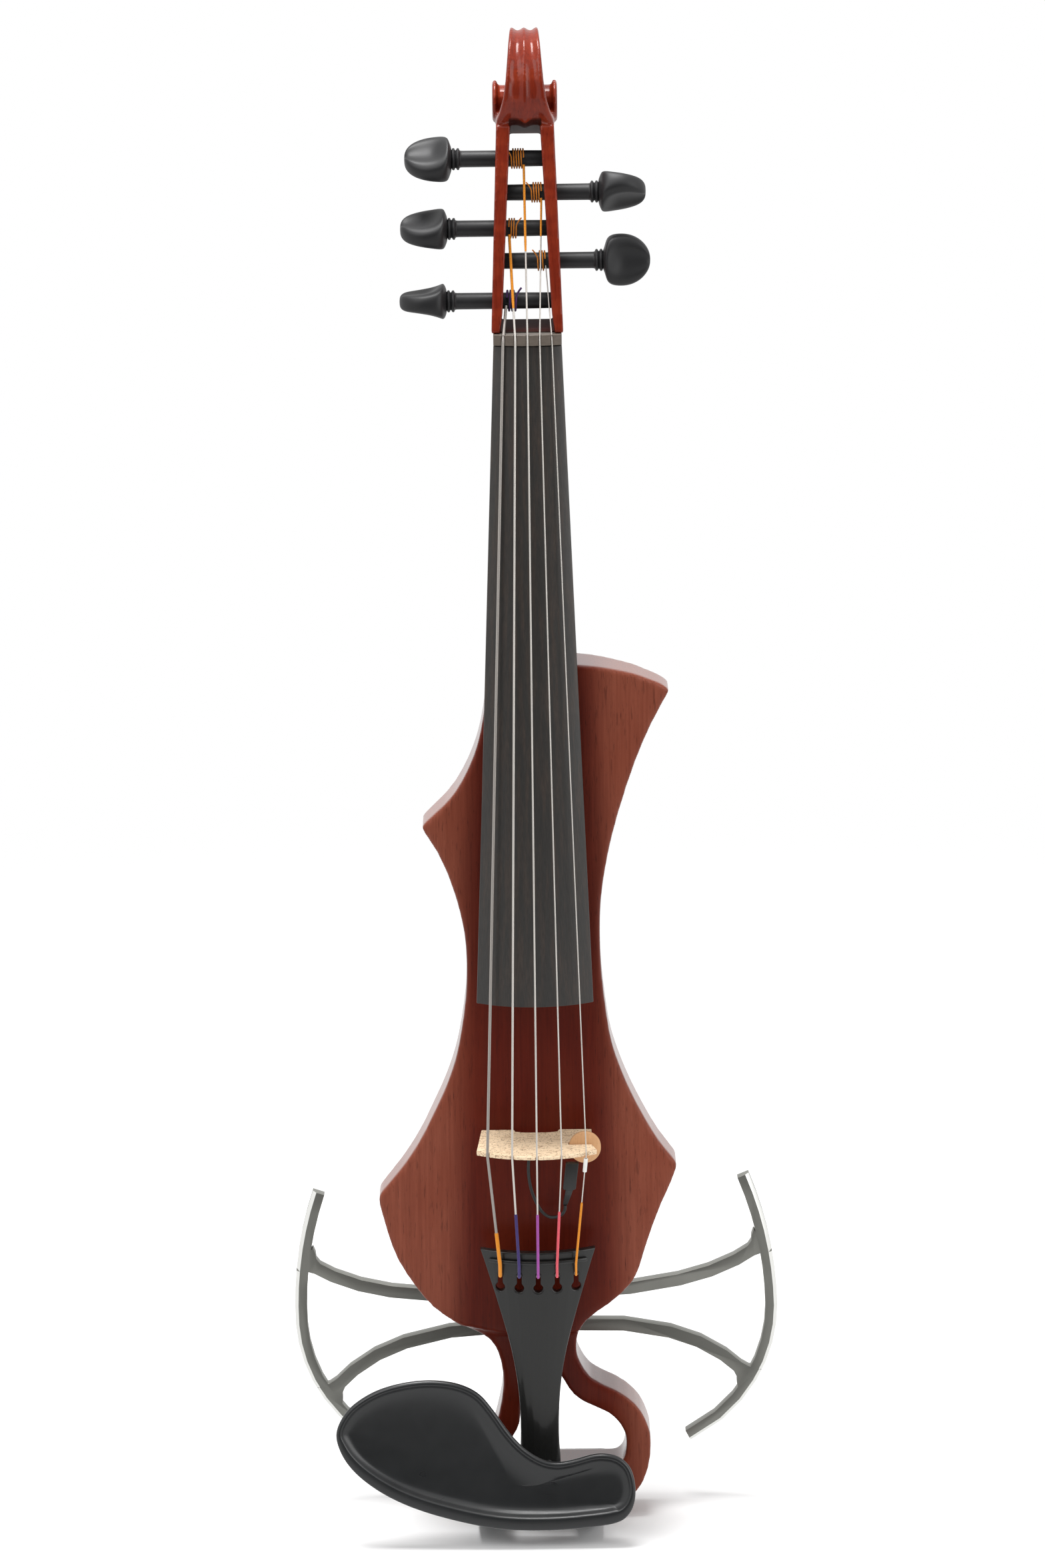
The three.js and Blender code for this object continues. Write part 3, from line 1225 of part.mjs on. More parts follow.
function makeChinRest() {
  const plate = loft([
    chinPoints(2 * chinRimWidth, 0.55, chinThickness + chinDish),
    chinPoints(2 * chinRimWidth, 0.94, chinThickness + chinDish / 3),
    chinPoints(chinRimWidth / 3, 1, chinThickness / 2),
    chinPoints(0, 1, chinThickness / 5),
    chinPoints(chinRimWidth / 2, 1, 0),
    chinPoints(chinRimWidth, 1, chinThickness / 8),
    chinPoints(2 * chinRimWidth, 0.97, chinDish / 4),
    chinPoints(3 * chinRimWidth, 0.86, chinDish * 0.6),
    chinPoints(3 * chinRimWidth, 0.6, chinDish * 0.92),
    chinPoints(3 * chinRimWidth, 0.3, chinDish),
  ]);
  const seatBack = loopSetback - corkThickness - 2 * gap;
  const studCentreDown = barBottomDown + clampDrop;
  const parts = [plate];
  for (const side of [-1, 1]) {
    const across = side * pillarAcross;
    const left = across - pillarWidth / 2;
    const right = across + pillarWidth / 2;
    const lowerEnd = -studCentreDown - barrelDiameter / 2;
    const upper = -barTopDown - gap;
    const profile = new THREE.Shape([
      v2(chinRimY(upper) + chinThickness, upper), v2(seatBack, upper),
      v2(seatBack, lowerEnd), v2(seatBack - pillarHeight, lowerEnd + pillarHeight / 4),
      v2(chinRimY(-chinBottomDown) + chinThickness, -chinBottomDown + chinRimWidth),
    ]);
    parts.push(plateYZ(profile, left, right));
    parts.push(rod(v3(across, seatBack - gap, -studCentreDown), v3(0, 1, 0),
      barrelFront + barrelLength / 2 - seatBack,
      studDiameter / 2, 10));
  }
  const tailWay = block(-tailpieceHalfWidth / 2, tailpieceHalfWidth / 2, tailFrontAt(0, fretDown),
    seatBack + overrun,
    -barBottomDown - 2 * overrun, -barTopDown + overrun);
  add('chin_rest', join(parts).subtract(tailWay), blackPlastic);
  for (const [side, name] of [[-1, 'left'], [1, 'right']]) {
    const across = side * pillarAcross;
    add(`chin_rest_cork_${name}`, block(across - pillarWidth / 2, across + pillarWidth / 2,
      loopSetback - gap - corkThickness, loopSetback - gap, -barBottomDown + gap, -barTopDown - gap), cork);
  }
}

// Clamp: a foot behind the bar, drawn in by two barrels with a thread in each end
function makeClamp() {
  const studCentreDown = barBottomDown + clampDrop;
  const footFront = bodyDepth + gap + corkThickness + gap;
  const footBack = footFront + footThickness;
  const footTop = -studCentreDown + footHeight;
  const plate = block(-footWidth / 2, footWidth / 2, footFront, footBack,
    -studCentreDown - barrelDiameter / 2, footTop);
  const studs = [-1, 1].map((side) => rod(v3(side * pillarAcross,
    barrelFront + barrelLength / 2 + 2 * gap, -studCentreDown),
    v3(0, 1, 0), footFront - barrelFront - barrelLength / 2, studDiameter / 2, 10));
  add('clamp_foot', join([plate, ...studs]), steel);
  add('clamp_cork', block(-footWidth / 2 + gap, footWidth / 2 - gap, bodyDepth + gap,
    bodyDepth + gap + corkThickness,
    -barBottomDown + gap, footTop - gap), cork);
  for (const [side, name] of [[-1, 'left'], [1, 'right']]) {
    const start = v3(side * pillarAcross, barrelFront, -studCentreDown);
    const bevel = gap * 2;
    const tube = turned([
      [0, barrelDiameter / 2 - bevel], [bevel, barrelDiameter / 2],
      [barrelLength - bevel, barrelDiameter / 2],
      [barrelLength, barrelDiameter / 2 - bevel],
    ], start, v3(0, 1, 0), 14);
    const bore = rod(start.clone().add(v3(0, -overrun, 0)), v3(0, 1, 0), barrelLength + 2 * overrun,
      studDiameter / 2 + gap, 10);
    const tommy = rod(v3(side * pillarAcross, barrelFront + barrelLength / 2, -studCentreDown - overrun),
      v3(0, 0, 1),
      2 * overrun, tommyDiameter / 2, 8);
    add(`clamp_barrel_${name}`, cut(tube, [bore, tommy]), steel);
  }
}

// Shoulder frame: two arc-shaped wings, each on two curved arms that meet in a hub
function band(points, widths) {
  const left = [];
  const right = [];
  points.forEach((point, i) => {
    const before = points[Math.max(i - 1, 0)];
    const after = points[Math.min(i + 1, points.length - 1)];
    const along = after.clone().sub(before).normalize();
    left.push(point.clone().add(v2(-along.y, along.x).multiplyScalar(widths[i] / 2)));
    right.push(point.clone().add(v2(along.y, -along.x).multiplyScalar(widths[i] / 2)));
  });
  return new THREE.Shape([...left, ...right.reverse()]);
}

// A place on a wing's outer edge by its height, and the same drawn in by an inset
function wingPlace(up, inset = 0) {
  const radius = up > wingWidestUp ? wingUpperRadius : wingLowerRadius;
  const angle = Math.asin((up - wingWidestUp) / radius);
  return v2(wingReach - radius + (radius - inset) * Math.cos(angle),
    wingWidestUp + (radius - inset) * Math.sin(angle));
}

// A wing: a curved bar whose outer front edge is cut at a slant
function wingBar(side, front, back) {
  const section = [[0, front + frameRim], [frameRim, front], [frameBand, front], [frameBand, back], [0, back]];
  const steps = 14;
  const rings = Array.from({ length: steps + 1 }, (_, i) => {
    const up = lerp(wingTopUp, wingBottomUp, i / steps);
    return section.map(([inset, depth]) => {
      const place = wingPlace(up, inset);
      const spot = inFrame(v2(side * place.x, place.y));
      return v3(spot.x, depth, spot.y);
    });
  });
  return loft(rings);
}

// An arm's middle line from the wing to the hub, and its widths, flared where it joins the wing
function armBand(atWing, atHub, side) {
  const outer = wingPlace(atWing, frameBand / 2);
  const reachShares = [0.82, 0.52];
  const fallShares = [0.22, -0.02];
  const corners = [outer, ...reachShares.map((share, i) =>
    v2(share * outer.x, lerp(atHub, atWing, fallShares[i]))), v2(0, atHub)];
  const curve = new THREE.CubicBezierCurve(...corners);
  const lengthShares = [0, 0.035, 0.06, 0.1, 0.2, 0.35, 0.5, 0.7, 1];
  const flareShares = [1.5, 1, 0.35];
  const points = lengthShares.map((share) => curve.getPoint(share));
  const widths = lengthShares.map((_, i) => frameBand + 2 * armFillet * (flareShares[i] ?? 0));
  return band(points.map((point) => v2(side * point.x, point.y)), widths);
}

const inFrame = (point) => point.rotateAround(v2(0, 0),
  rad(frameTilt)).add(v2(frameCentreAcross, -frameCentreDown));

function makeShoulderFrame() {
  const front = backFace + frameStandoff;
  const back = front + frameThickness;
  const plate = (shape, from, to) => {
    const points = shape.getPoints().map((point) => inFrame(point.clone()));
    return plateXZ(new THREE.Shape(points), from, to);
  };
  const parts = [];
  for (const side of [-1, 1]) {
    parts.push(wingBar(side, front, back));
    parts.push(plate(armBand(upperArmAtWing, upperArmAtHub, side), front, back));
    parts.push(plate(armBand(lowerArmAtWing, lowerArmAtHub, side), front, back));
  }
  const hub = new THREE.Shape();
  hub.absellipse(0, 0, hubHalfWidth, hubHalfHeight, 0, 2 * halfTurn);
  parts.push(plate(hub, front, back));
  const riserShape = new THREE.Shape();
  riserShape.absellipse(0, 0, hubHalfWidth - frameRim, hubHalfHeight - frameRim, 0, 2 * halfTurn);
  const holes = frameScrewDowns.map((down) => rod(v3(frameCentreAcross, backFace - overrun, -down),
    v3(0, 1, 0),
    3 * overrun + frameThickness, frameScrewDiameter / 2 + gap, 10));
  add('shoulder_frame', cut(join(parts), holes), aluminium);
  add('frame_riser', cut(plate(riserShape, backFace + gap, front - gap), holes), blackPlastic);
  frameScrewDowns.forEach((down, i) => {
    const start = v3(frameCentreAcross, backFace - frameScrewReach, -down);
    const headFrom = frameScrewReach + frameStandoff + frameThickness + gap;
    const screw = turned([
      [0, frameScrewDiameter / 4], [frameScrewDiameter / 2, frameScrewDiameter / 2],
      [headFrom, frameScrewDiameter / 2], [headFrom, frameScrewHead / 2],
      [headFrom + frameScrewHeadLength * 0.6, frameScrewHead / 2],
      [headFrom + frameScrewHeadLength, frameScrewHead / 3],
    ], start, v3(0, 1, 0), 12);
    const driveDepth = frameScrewHeadLength / 2;
    const drive = rod(start.clone().add(v3(0, headFrom + frameScrewHeadLength - driveDepth, 0)), v3(0, 1, 0),
      overrun, frameScrewHead / 5, 6);
    add(`frame_screw_${i + 1}`, screw.subtract(drive), steel);
  });
}

// Control cover with the battery lid, its pin and the four screws that hold the cover down
const lidLeft = bayMiddle + gap;
const lidRight = bayRight - gap;
const lidTopDown = bayTopDown + lidKnuckleDiameter / 2 + 2 * gap;
const lidPinBack = backFace - lidKnuckleDiameter / 2 + coverThickness / 2;
const potDowns = [-knobSpread, knobSpread].map((off) => (bayTopDown + bayBottomDown) / 2 + off);
const potAcross = (bayLeft + bayMiddle - bayWall) / 2;

function makeCover() {
  const knuckle = lidKnuckleDiameter / 2;
  const span = lidRight - lidLeft;
  const middleLeft = lidLeft + (span * (1 - lidKnuckleShare)) / 2;
  const middleRight = lidRight - (span * (1 - lidKnuckleShare)) / 2;
  const plate = block(coverLeft, coverRight, coverFront, backFace, -coverBottomDown, -coverTopDown);
  const lidHole = block(bayMiddle, bayRight, coverFront - overrun, backFace + overrun, -bayBottomDown,
    -lidTopDown);
  const knuckleWay = block(bayMiddle, bayRight, coverFront - overrun, backFace + overrun,
    -lidTopDown - knuckle - gap, -lidTopDown + knuckle + gap);
  const lugs = [[bayMiddle + gap, middleLeft - gap],
    [middleRight + gap, bayRight - gap]].map(([left, right]) =>
    rod(v3(left, lidPinBack, -lidTopDown), v3(1, 0, 0), right - left, knuckle, 12)
      .add(block(left, right, coverFront, backFace, -lidTopDown, -coverTopDown - gap)));
  const pinBore = rod(v3(bayMiddle, lidPinBack, -lidTopDown), v3(1, 0, 0), bayWidth,
    lidPinDiameter / 2 + gap, 10);
  const knobHoles = potDowns.map((down) => rod(v3(potAcross, coverFront - overrun, -down), v3(0, 1, 0),
    3 * overrun,
    knobShaftDiameter / 2 + 2 * gap, 12));
  const screwHoles = coverScrewPlaces.map(([across, down]) => rod(v3(across, coverFront - overrun, -down),
    v3(0, 1, 0),
    3 * overrun, coverScrewDiameter / 2 + gap, 8));
  const heads = coverScrewPlaces.map(([across, down]) => rod(v3(across,
    backFace - coverScrewHeadLength - gap, -down),
    v3(0, 1, 0), overrun, coverScrewHead / 2 + gap, 10));
  const carrier = join([cut(plate, [lidHole, knuckleWay]), ...lugs]);
  add('control_cover', cut(carrier, [pinBore, ...knobHoles, ...screwHoles, ...heads]), blackPlastic);

  const lidBottom = -bayBottomDown + gap;
  const leaf = block(lidLeft, lidRight, coverFront, backFace, lidBottom, -lidTopDown - knuckle - 2 * gap);
  const barrel = rod(v3(middleLeft, lidPinBack, -lidTopDown), v3(1, 0, 0), middleRight - middleLeft,
    knuckle, 12)
    .add(block(middleLeft, middleRight, coverFront, backFace, -lidTopDown - knuckle - 3 * gap, -lidTopDown));
  const lip = block((lidLeft + lidRight - lidLipWidth) / 2, (lidLeft + lidRight + lidLipWidth) / 2,
    backFace - gap,
    backFace + lidLipHeight, lidBottom + gap, lidBottom + gap + lidLipHeight);
  add('battery_lid', join([leaf, barrel, lip]).subtract(
    rod(v3(lidLeft - overrun, lidPinBack, -lidTopDown), v3(1, 0, 0), span + 2 * overrun,
      lidPinDiameter / 2 + gap, 10)), blackPlastic);
  add('battery_lid_pin', rod(v3(lidLeft + gap, lidPinBack, -lidTopDown), v3(1, 0, 0), span - 2 * gap,
    lidPinDiameter / 2, 10), steel);
  coverScrewPlaces.forEach(([across, down], i) => {
    const length = coverScrewLength - coverScrewHeadLength;
    const screw = turned([
      [0, coverScrewDiameter / 6], [coverScrewDiameter, coverScrewDiameter / 2],
      [length, coverScrewDiameter / 2],
      [length, coverScrewHead / 2], [length + coverScrewHeadLength * 0.6, coverScrewHead / 2],
      [length + coverScrewHeadLength, coverScrewHead / 3],
    ], v3(across, backFace - coverScrewLength, -down), v3(0, 1, 0), 10);
    const slot = block(across - coverScrewHead / 4, across + coverScrewHead / 4, backFace - gap * 2,
      backFace + overrun, -down - gap, -down + gap);
    add(`cover_screw_${i + 1}`, screw.subtract(slot), steel);
  });
}

// Battery with its snap, the preamplifier board, and the two controls with their knobs
function makeElectronics() {
  const bayCentre = (bayMiddle + bayRight) / 2;
  const batteryTop = -bayTopDown - snapThickness - 3 * gap;
  const terminal = snapThickness - gap;
  const caseBlock = block(bayCentre - batteryWidth / 2, bayCentre + batteryWidth / 2, bayFront + gap,
    bayFront + gap + batteryDepth, batteryTop - batteryHeight, batteryTop - terminal);
  add('battery', caseBlock, batteryCase);
  add('battery_snap', block(bayCentre - batteryWidth / 2 + 2 * gap, bayCentre + batteryWidth / 2 - 2 * gap,
    bayFront + 2 * gap, bayFront + batteryDepth, batteryTop - terminal + gap, -bayTopDown - gap),
      blackPlastic);

  const boardLeft = bayLeft + gap;
  const boardRight = bayMiddle - bayWall - gap;
  const boardBackFace = boardBayFront + boardBack;
  const leadWay = rod(v3(leadHoleAcross, 0, -leadHoleDown), v3(0, 1, 0), bodyDepth, grommetDiameter, 12);
  const board = block(boardLeft, boardRight, boardBackFace - boardThickness, boardBackFace,
    -bayBottomDown + gap, -bayTopDown - potSize - gap);
  const spacers = [boardLeft + potSize / 4, boardRight - potSize / 4].flatMap((across) =>
    [-bayBottomDown + potSize / 3, -bayTopDown - 1.4 * potSize].map((z) =>
      rod(v3(across, boardBayFront + gap, z), v3(0, 1, 0), boardBack - gap, potSize / 6, 8)));
  add('preamp_board', join([board, ...spacers]).subtract(leadWay), greenBoard);

  const names = ['volume', 'tone'];
  potDowns.forEach((down, i) => {
    const potFront = boardBackFace + gap;
    const body = block(potAcross - potSize / 2, potAcross + potSize / 2, potFront, potFront + potDepth,
      -down - potSize / 2, -down + potSize / 2);
    const well = rod(v3(potAcross, potFront + potDepth / 2, -down), v3(0, 1, 0), potDepth,
      knobShaftDiameter / 2 + gap, 14);
    add(`${names[i]}_control`, body.subtract(well), steel);
    const knobFront = backFace + gap;
    const cap = turned([
      [0, knobDiameter / 2], [knobHeight - 2 * gap, knobDiameter / 2 - gap],
      [knobHeight, knobDiameter / 2 - 3 * gap],
    ], v3(potAcross, knobFront, -down), v3(0, 1, 0), 18);
    const shaftFrom = potFront + potDepth / 2 + gap;
    const shaft = rod(v3(potAcross, shaftFrom, -down), v3(0, 1, 0), knobFront - shaftFrom + gap,
      knobShaftDiameter / 2, 12);
    const flutes = Array.from({ length: knobFlutes }, (_, k) => {
      const angle = (2 * halfTurn * k) / knobFlutes;
      const across = potAcross + (knobDiameter / 2) * Math.cos(angle);
      const z = -down + (knobDiameter / 2) * Math.sin(angle);
      return rod(v3(across, knobFront + gap * 3, z), v3(0, 1, 0), knobHeight, knobFluteDiameter / 2, 5);
    });
    const mark = block(potAcross - gap, potAcross + gap, knobFront + knobHeight - gap,
      backFace + 3 * knobHeight,
      -down + knobDiameter / 8, -down + knobDiameter);
    add(`${names[i]}_knob`, cut(cap.add(shaft), [...flutes, mark]), blackPlastic);
  });
}

// Output jack: a barrel in the body's edge with its washer and nut outside
function makeJack() {
  const barrel = turned([
    [0, jackBarrelDiameter / 2], [jackBarrelLength, jackBarrelDiameter / 2],
    [jackBarrelLength, jackBushDiameter / 2], [jackBarrelLength + jackBushLength, jackBushDiameter / 2],
  ], v3(jackAcross, jackBack, -jackSeatDown + jackBarrelLength + gap), v3(0, 0, -1), 14);
  const bore = rod(v3(jackAcross, jackBack, -jackSeatDown - jackBushLength - overrun), v3(0, 0, 1),
    jackBarrelLength + jackBushLength + overrun - 2 * gap, jackBoreDiameter / 2, 14);
  add('output_jack', barrel.subtract(bore), steel);
  const washerTop = -jackSeatDown - gap;
  const hole = rod(v3(jackAcross, jackBack, -jackSeatDown + overrun), v3(0, 0, -1), 4 * overrun,
    jackBushDiameter / 2 + gap / 2, 14);
  const washer = rod(v3(jackAcross, jackBack, washerTop), v3(0, 0, -1), jackWasherThickness,
    jackWasherDiameter / 2, 14);
  add('jack_washer', washer.subtract(hole), steel);
  const nut = rod(v3(jackAcross, jackBack, washerTop - jackWasherThickness - gap), v3(0, 0, -1),
    jackNutThickness,
    jackNutAcross / 2, 6);
  add('jack_nut', nut.subtract(hole), steel);
}

makeBody();
makeNeck();
makeFingerboard();
makeNut();
makeStrings();
makeBridge();
makePickup();
makeLead();
makeStringSleeve();
makeTailpiece();
makeTailpieceFret();
makeTailFittings();
pegs.forEach(makePeg);
pegs.forEach(makeWinding);
makeChinRest();
makeClamp();
makeShoulderFrame();
makeCover();
makeElectronics();
makeJack();

const root = new THREE.Group();
root.add(violin);
export default root;
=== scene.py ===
from math import acos, atan2, copysign, cos, hypot, pi, radians, sin, sqrt

import bmesh
import bpy
from mathutils import Matrix, Vector


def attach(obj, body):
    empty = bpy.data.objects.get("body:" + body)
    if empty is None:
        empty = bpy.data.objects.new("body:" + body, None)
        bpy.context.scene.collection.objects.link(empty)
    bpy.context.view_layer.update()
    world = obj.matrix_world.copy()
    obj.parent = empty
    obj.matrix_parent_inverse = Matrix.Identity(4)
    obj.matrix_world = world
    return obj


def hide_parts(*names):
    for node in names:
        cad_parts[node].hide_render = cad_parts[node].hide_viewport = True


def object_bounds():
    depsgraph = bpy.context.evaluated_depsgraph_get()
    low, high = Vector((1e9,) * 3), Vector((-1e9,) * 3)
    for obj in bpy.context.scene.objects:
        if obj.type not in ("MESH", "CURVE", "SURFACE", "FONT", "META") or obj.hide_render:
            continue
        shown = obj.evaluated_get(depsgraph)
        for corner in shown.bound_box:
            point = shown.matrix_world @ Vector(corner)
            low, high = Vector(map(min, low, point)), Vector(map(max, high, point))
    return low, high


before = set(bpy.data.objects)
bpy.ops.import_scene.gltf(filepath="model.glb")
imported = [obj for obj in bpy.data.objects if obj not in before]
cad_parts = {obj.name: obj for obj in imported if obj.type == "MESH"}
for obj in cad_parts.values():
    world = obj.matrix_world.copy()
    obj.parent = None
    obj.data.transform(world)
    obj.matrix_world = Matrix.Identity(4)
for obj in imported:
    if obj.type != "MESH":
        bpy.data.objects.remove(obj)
cad_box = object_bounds()


# Camera
# It stands 2.5 metres in front of the violin and looks down 13.5 degrees, and is rolled a little.
# Sizes below are millimetres on the violin: right of its middle, behind its deck, above its nut.
# The origin lies where a hanger's fork takes the scroll.
mm = 0.001
fork_back = 27
fork_up = 85.6
on_violin = Matrix.Scale(mm, 4) @ Matrix.Translation((0, -fork_back, -fork_up))
looked_at = on_violin @ Vector((-4.04, -5, -177.54))
eye = on_violin @ Vector((-4.04, -2435.9, 406.1))
roll = radians(0.673)
ahead = (looked_at - eye).normalized()
level = ahead.cross(Vector((0, 0, 1))).normalized()
upright = level.cross(ahead)


def added(name, data):
    """Makes an object of its data and puts it in the scene."""
    made = bpy.data.objects.new(name, data)
    bpy.context.scene.collection.objects.link(made)
    return made


camera_data = bpy.data.cameras.new("camera")
camera_data.sensor_fit = "VERTICAL"
camera_data.sensor_height = 24
camera_data.lens = 95.01
camera_data.clip_end = 20
camera = added("camera", camera_data)
stand = Matrix((level * cos(roll) - upright * sin(roll),
                level * sin(roll) + upright * cos(roll), -ahead)).transposed().to_4x4()
stand.translation = eye
camera.matrix_world = stand
bpy.context.scene.camera = camera


# Pickup lead
# The thin black lead of the bridge pickup: a screened wire in soft plastic. It hangs from the plug,
# turns up in a loop over the deck and goes down a hole behind the bridge to the board inside.
def feed(socket, value):
    """Gives a socket its value, or the finish that varies it."""
    if isinstance(value, Finish):
        socket.id_data.links.new(value.socket, socket)
    else:
        socket.default_value = value


class Finish:
    """A socket of a material. Sums and products of values add Math nodes, node() adds any other."""

    def __init__(self, socket):
        self.socket = socket

    def node(self, kind, settings=None, sockets=None, out=0):
        made = self.socket.id_data.nodes.new(kind)
        for name, value in (settings or {}).items():
            setattr(made, name, value)
        for name, value in (sockets or {}).items():
            feed(made.inputs[name], value)
        return Finish(made.outputs[out])

    def other(self, out):
        return Finish(self.socket.node.outputs[out])

    def maths(self, operation, first, second=0.0):
        return self.node("ShaderNodeMath", {"operation": operation}, {0: first, 1: second})

    def __add__(self, more):
        return self.maths("ADD", self, more)

    __radd__ = __add__

    def __sub__(self, less):
        return self.maths("SUBTRACT", self, less)

    def __rsub__(self, whole):
        return self.maths("SUBTRACT", whole, self)

    def __mul__(self, times):
        return self.maths("MULTIPLY", self, times)

    __rmul__ = __mul__

    def __abs__(self):
        return self.maths("ABSOLUTE", self)


def paint(red, green, blue):
    """A colour from screen values of 0 to 255, as the shader counts it."""
    return tuple((v / 255 / 12.92 if v <= 10 else ((v / 255 + 0.055) / 1.055) ** 2.4)
                 for v in (red, green, blue)) + (1,)


def shade(colour, times):
    """The same colour made darker or lighter."""
    return tuple(min(1.0, times * c) for c in colour[:3]) + (1,)


def new_finish(name):
    """A material, its shader, and places on the violin in millimetres."""
    material = bpy.data.materials.new(name)
    material.use_nodes = True
    tree = material.node_tree
    shader = tree.nodes["Principled BSDF"]
    place = Finish(tree.nodes.new("ShaderNodeTexCoord").outputs["Object"])
    on_piece = place.node("ShaderNodeMapping", {}, {
        "Vector": place, "Location": (0, fork_back, fork_up), "Scale": (1 / mm, 1 / mm, 1 / mm)})
    return material, shader, on_piece


def mottle(place, waves, detail=2.0, rough=0.5):
    """Noise with that many waves to a millimetre: one number, or one for each axis."""
    each_way = waves if isinstance(waves, tuple) else (waves, waves, waves)
    stretched = place.node("ShaderNodeMapping", {}, {"Vector": place, "Scale": each_way})
    return stretched.node("ShaderNodeTexNoise", {}, {
        "Vector": stretched, "Scale": 1.0, "Detail": detail, "Roughness": rough})


def between(value, low, high):
    """0 below low, 1 above high, with a soft step from one to the other."""
    return value.node("ShaderNodeMapRange", {"interpolation_type": "SMOOTHSTEP"}, {
        "Value": value, "From Min": low, "From Max": high})


def blended(share, first, second):
    return share.node("ShaderNodeMix", {"data_type": "RGBA"}, {0: share, 6: first, 7: second}, 2)


def relief(height, depth):
    """Normals of a surface whose height varies from 0 to 1 times a depth in metres."""
    return height.node("ShaderNodeBump", {}, {"Height": height, "Distance": depth, "Strength": 1.0})


def dress(shader, **values):
    """Puts values or finishes on the shader's sockets, named with _ for a space."""
    for name, value in values.items():
        feed(shader.inputs[name.replace("_", " ")], value)


def plastic(name, colour, rough, grain_depth):
    """Moulded plastic: a fine even grain, a little uneven in shine."""
    material, shader, place = new_finish(name)
    cloudy = mottle(place, 0.12, 3)
    pits = mottle(place, 3.2, 2)
    dress(shader, Base_Color=blended(cloudy, shade(colour, 0.78), colour), Specular_IOR_Level=0.45,
          Roughness=cloudy * 0.12 + (rough - 0.06), Normal=relief(pits, grain_depth))
    return material


def through(points, steps):
    """A smooth line through points, with that many steps from each to the next."""
    points = [Vector(point) for point in points]
    ends = [2 * points[0] - points[1], *points, 2 * points[-1] - points[-2]]
    line = [points[0]]
    for a, b, c, d in zip(ends, ends[1:], ends[2:], ends[3:]):
        t1 = (b - a).length ** 0.5
        t2 = t1 + (c - b).length ** 0.5
        t3 = t2 + (d - c).length ** 0.5
        for step in range(1, steps + 1):
            t = t1 + (t2 - t1) * step / steps
            ab = a.lerp(b, t / t1)
            bc = b.lerp(c, (t - t1) / (t2 - t1))
            cd = c.lerp(d, (t - t2) / (t3 - t2))
            abc = ab.lerp(bc, t / t2)
            bcd = bc.lerp(cd, (t - t1) / (t3 - t1))
            line.append(abc.lerp(bcd, (t - t1) / (t2 - t1)))
    return line


lead_diameter = 1.3
boot_end = (11.367, -12.8, -352.5)
lead_hole = Vector((-3.4, 0, -332.5))
lead_route = [
    boot_end, (11.2, -11.2, -355.2), (9.8, -9.9, -357.6), (7.4, -8.6, -359), (4.6, -7.4, -359.1),
    (2, -6.4, -357.4), (-0.4, -5.5, -353.6), (-2.2, -4.9, -349), (-3.2, -4.8, -344), (-3.5, -5, -339.4),
    (-3.3, -5, -335.6), (-3.05, -4, -333.2), lead_hole + Vector((0, -2.2, 0)),
    lead_hole + Vector((0, 1, 0)), lead_hole + Vector((0, 9.3, 0)),
]
lead_line = [on_violin @ point for point in through(lead_route, 5)]
lead_data = bpy.data.curves.new("lead", "CURVE")
lead_data.dimensions = "3D"
lead_data.bevel_depth = lead_diameter / 2 * mm
lead_data.bevel_resolution = 4
lead_data.use_fill_caps = True
spline = lead_data.splines.new("POLY")
spline.points.add(len(lead_line) - 1)
for bead, point in zip(spline.points, lead_line):
    bead.co = (*point, 1)
lead = added("pickup_lead_wire", lead_data)
lead.data.materials.append(plastic("lead_plastic", paint(44, 46, 46), 0.42, 1e-5))
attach(lead, "violin")
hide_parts("pickup_lead")
lead_length = sum((b - a).length for a, b in zip(lead_line, lead_line[1:]))


# Body
# One carved block of maple: a flat deck down the middle, flanks that fall away to both sides, and an
# open loop that ends in the bar at the tail. Stained dark red under a satin lacquer, edges sanded.
def written(bm, name):
    """Makes mesh data of a mesh being worked on."""
    mesh = bpy.data.meshes.new(name)
    bm.to_mesh(mesh)
    bm.free()
    return mesh


def worked(bm, *tools):
    """A mesh after modifiers, each given as its kind and its settings."""
    mesh = written(bm, "work")
    blank = added("work", mesh)
    for kind, settings in tools:
        tool = blank.modifiers.new(kind, kind)
        for name, value in settings.items():
            setattr(tool, name, value)
    bpy.context.view_layer.update()
    shaped = blank.evaluated_get(bpy.context.evaluated_depsgraph_get())
    bm = bmesh.new()
    bm.from_mesh(shaped.to_mesh())
    bpy.data.objects.remove(blank)
    bpy.data.meshes.remove(mesh)
    return bm


def rubbed(bm, grain, passes):
    """The same mesh in small even faces, its edges rubbed round."""
    return worked(bm, ("REMESH", {"mode": "VOXEL", "voxel_size": grain * mm, "adaptivity": 0.0}),
                  ("SMOOTH", {"factor": 0.5, "iterations": passes}))


def copied(node):
    """A CAD node's mesh with its doubled points merged."""
    bm = bmesh.new()
    bm.from_mesh(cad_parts[node].data)
    bmesh.ops.remove_doubles(bm, verts=bm.verts, dist=2e-6)
    return bm


def fitted(bm, name, material, slot, nodes, crease=40, body="violin"):
    """Makes an object of a mesh, gives it its finish, and fixes it to the body that carries it."""
    mesh = written(bm, name)
    mesh.shade_smooth()
    mesh.set_sharp_from_angle(angle=radians(crease))
    mesh.materials.append(material)
    made = added(name, mesh)
    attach(made, body)
    if nodes:
        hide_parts(*nodes)
    return made


smooth = 180


def sanded_copy(node, grain, passes, ending, material, slot, body="violin"):
    """Fits a copy of a CAD node with its edges rubbed round."""
    bm = rubbed(copied(node), grain, passes)
    return fitted(bm, f"{node}_{ending}", material, slot, [node], smooth, body)


shoulder_down = 130
body_length = 357
body_depth = 26

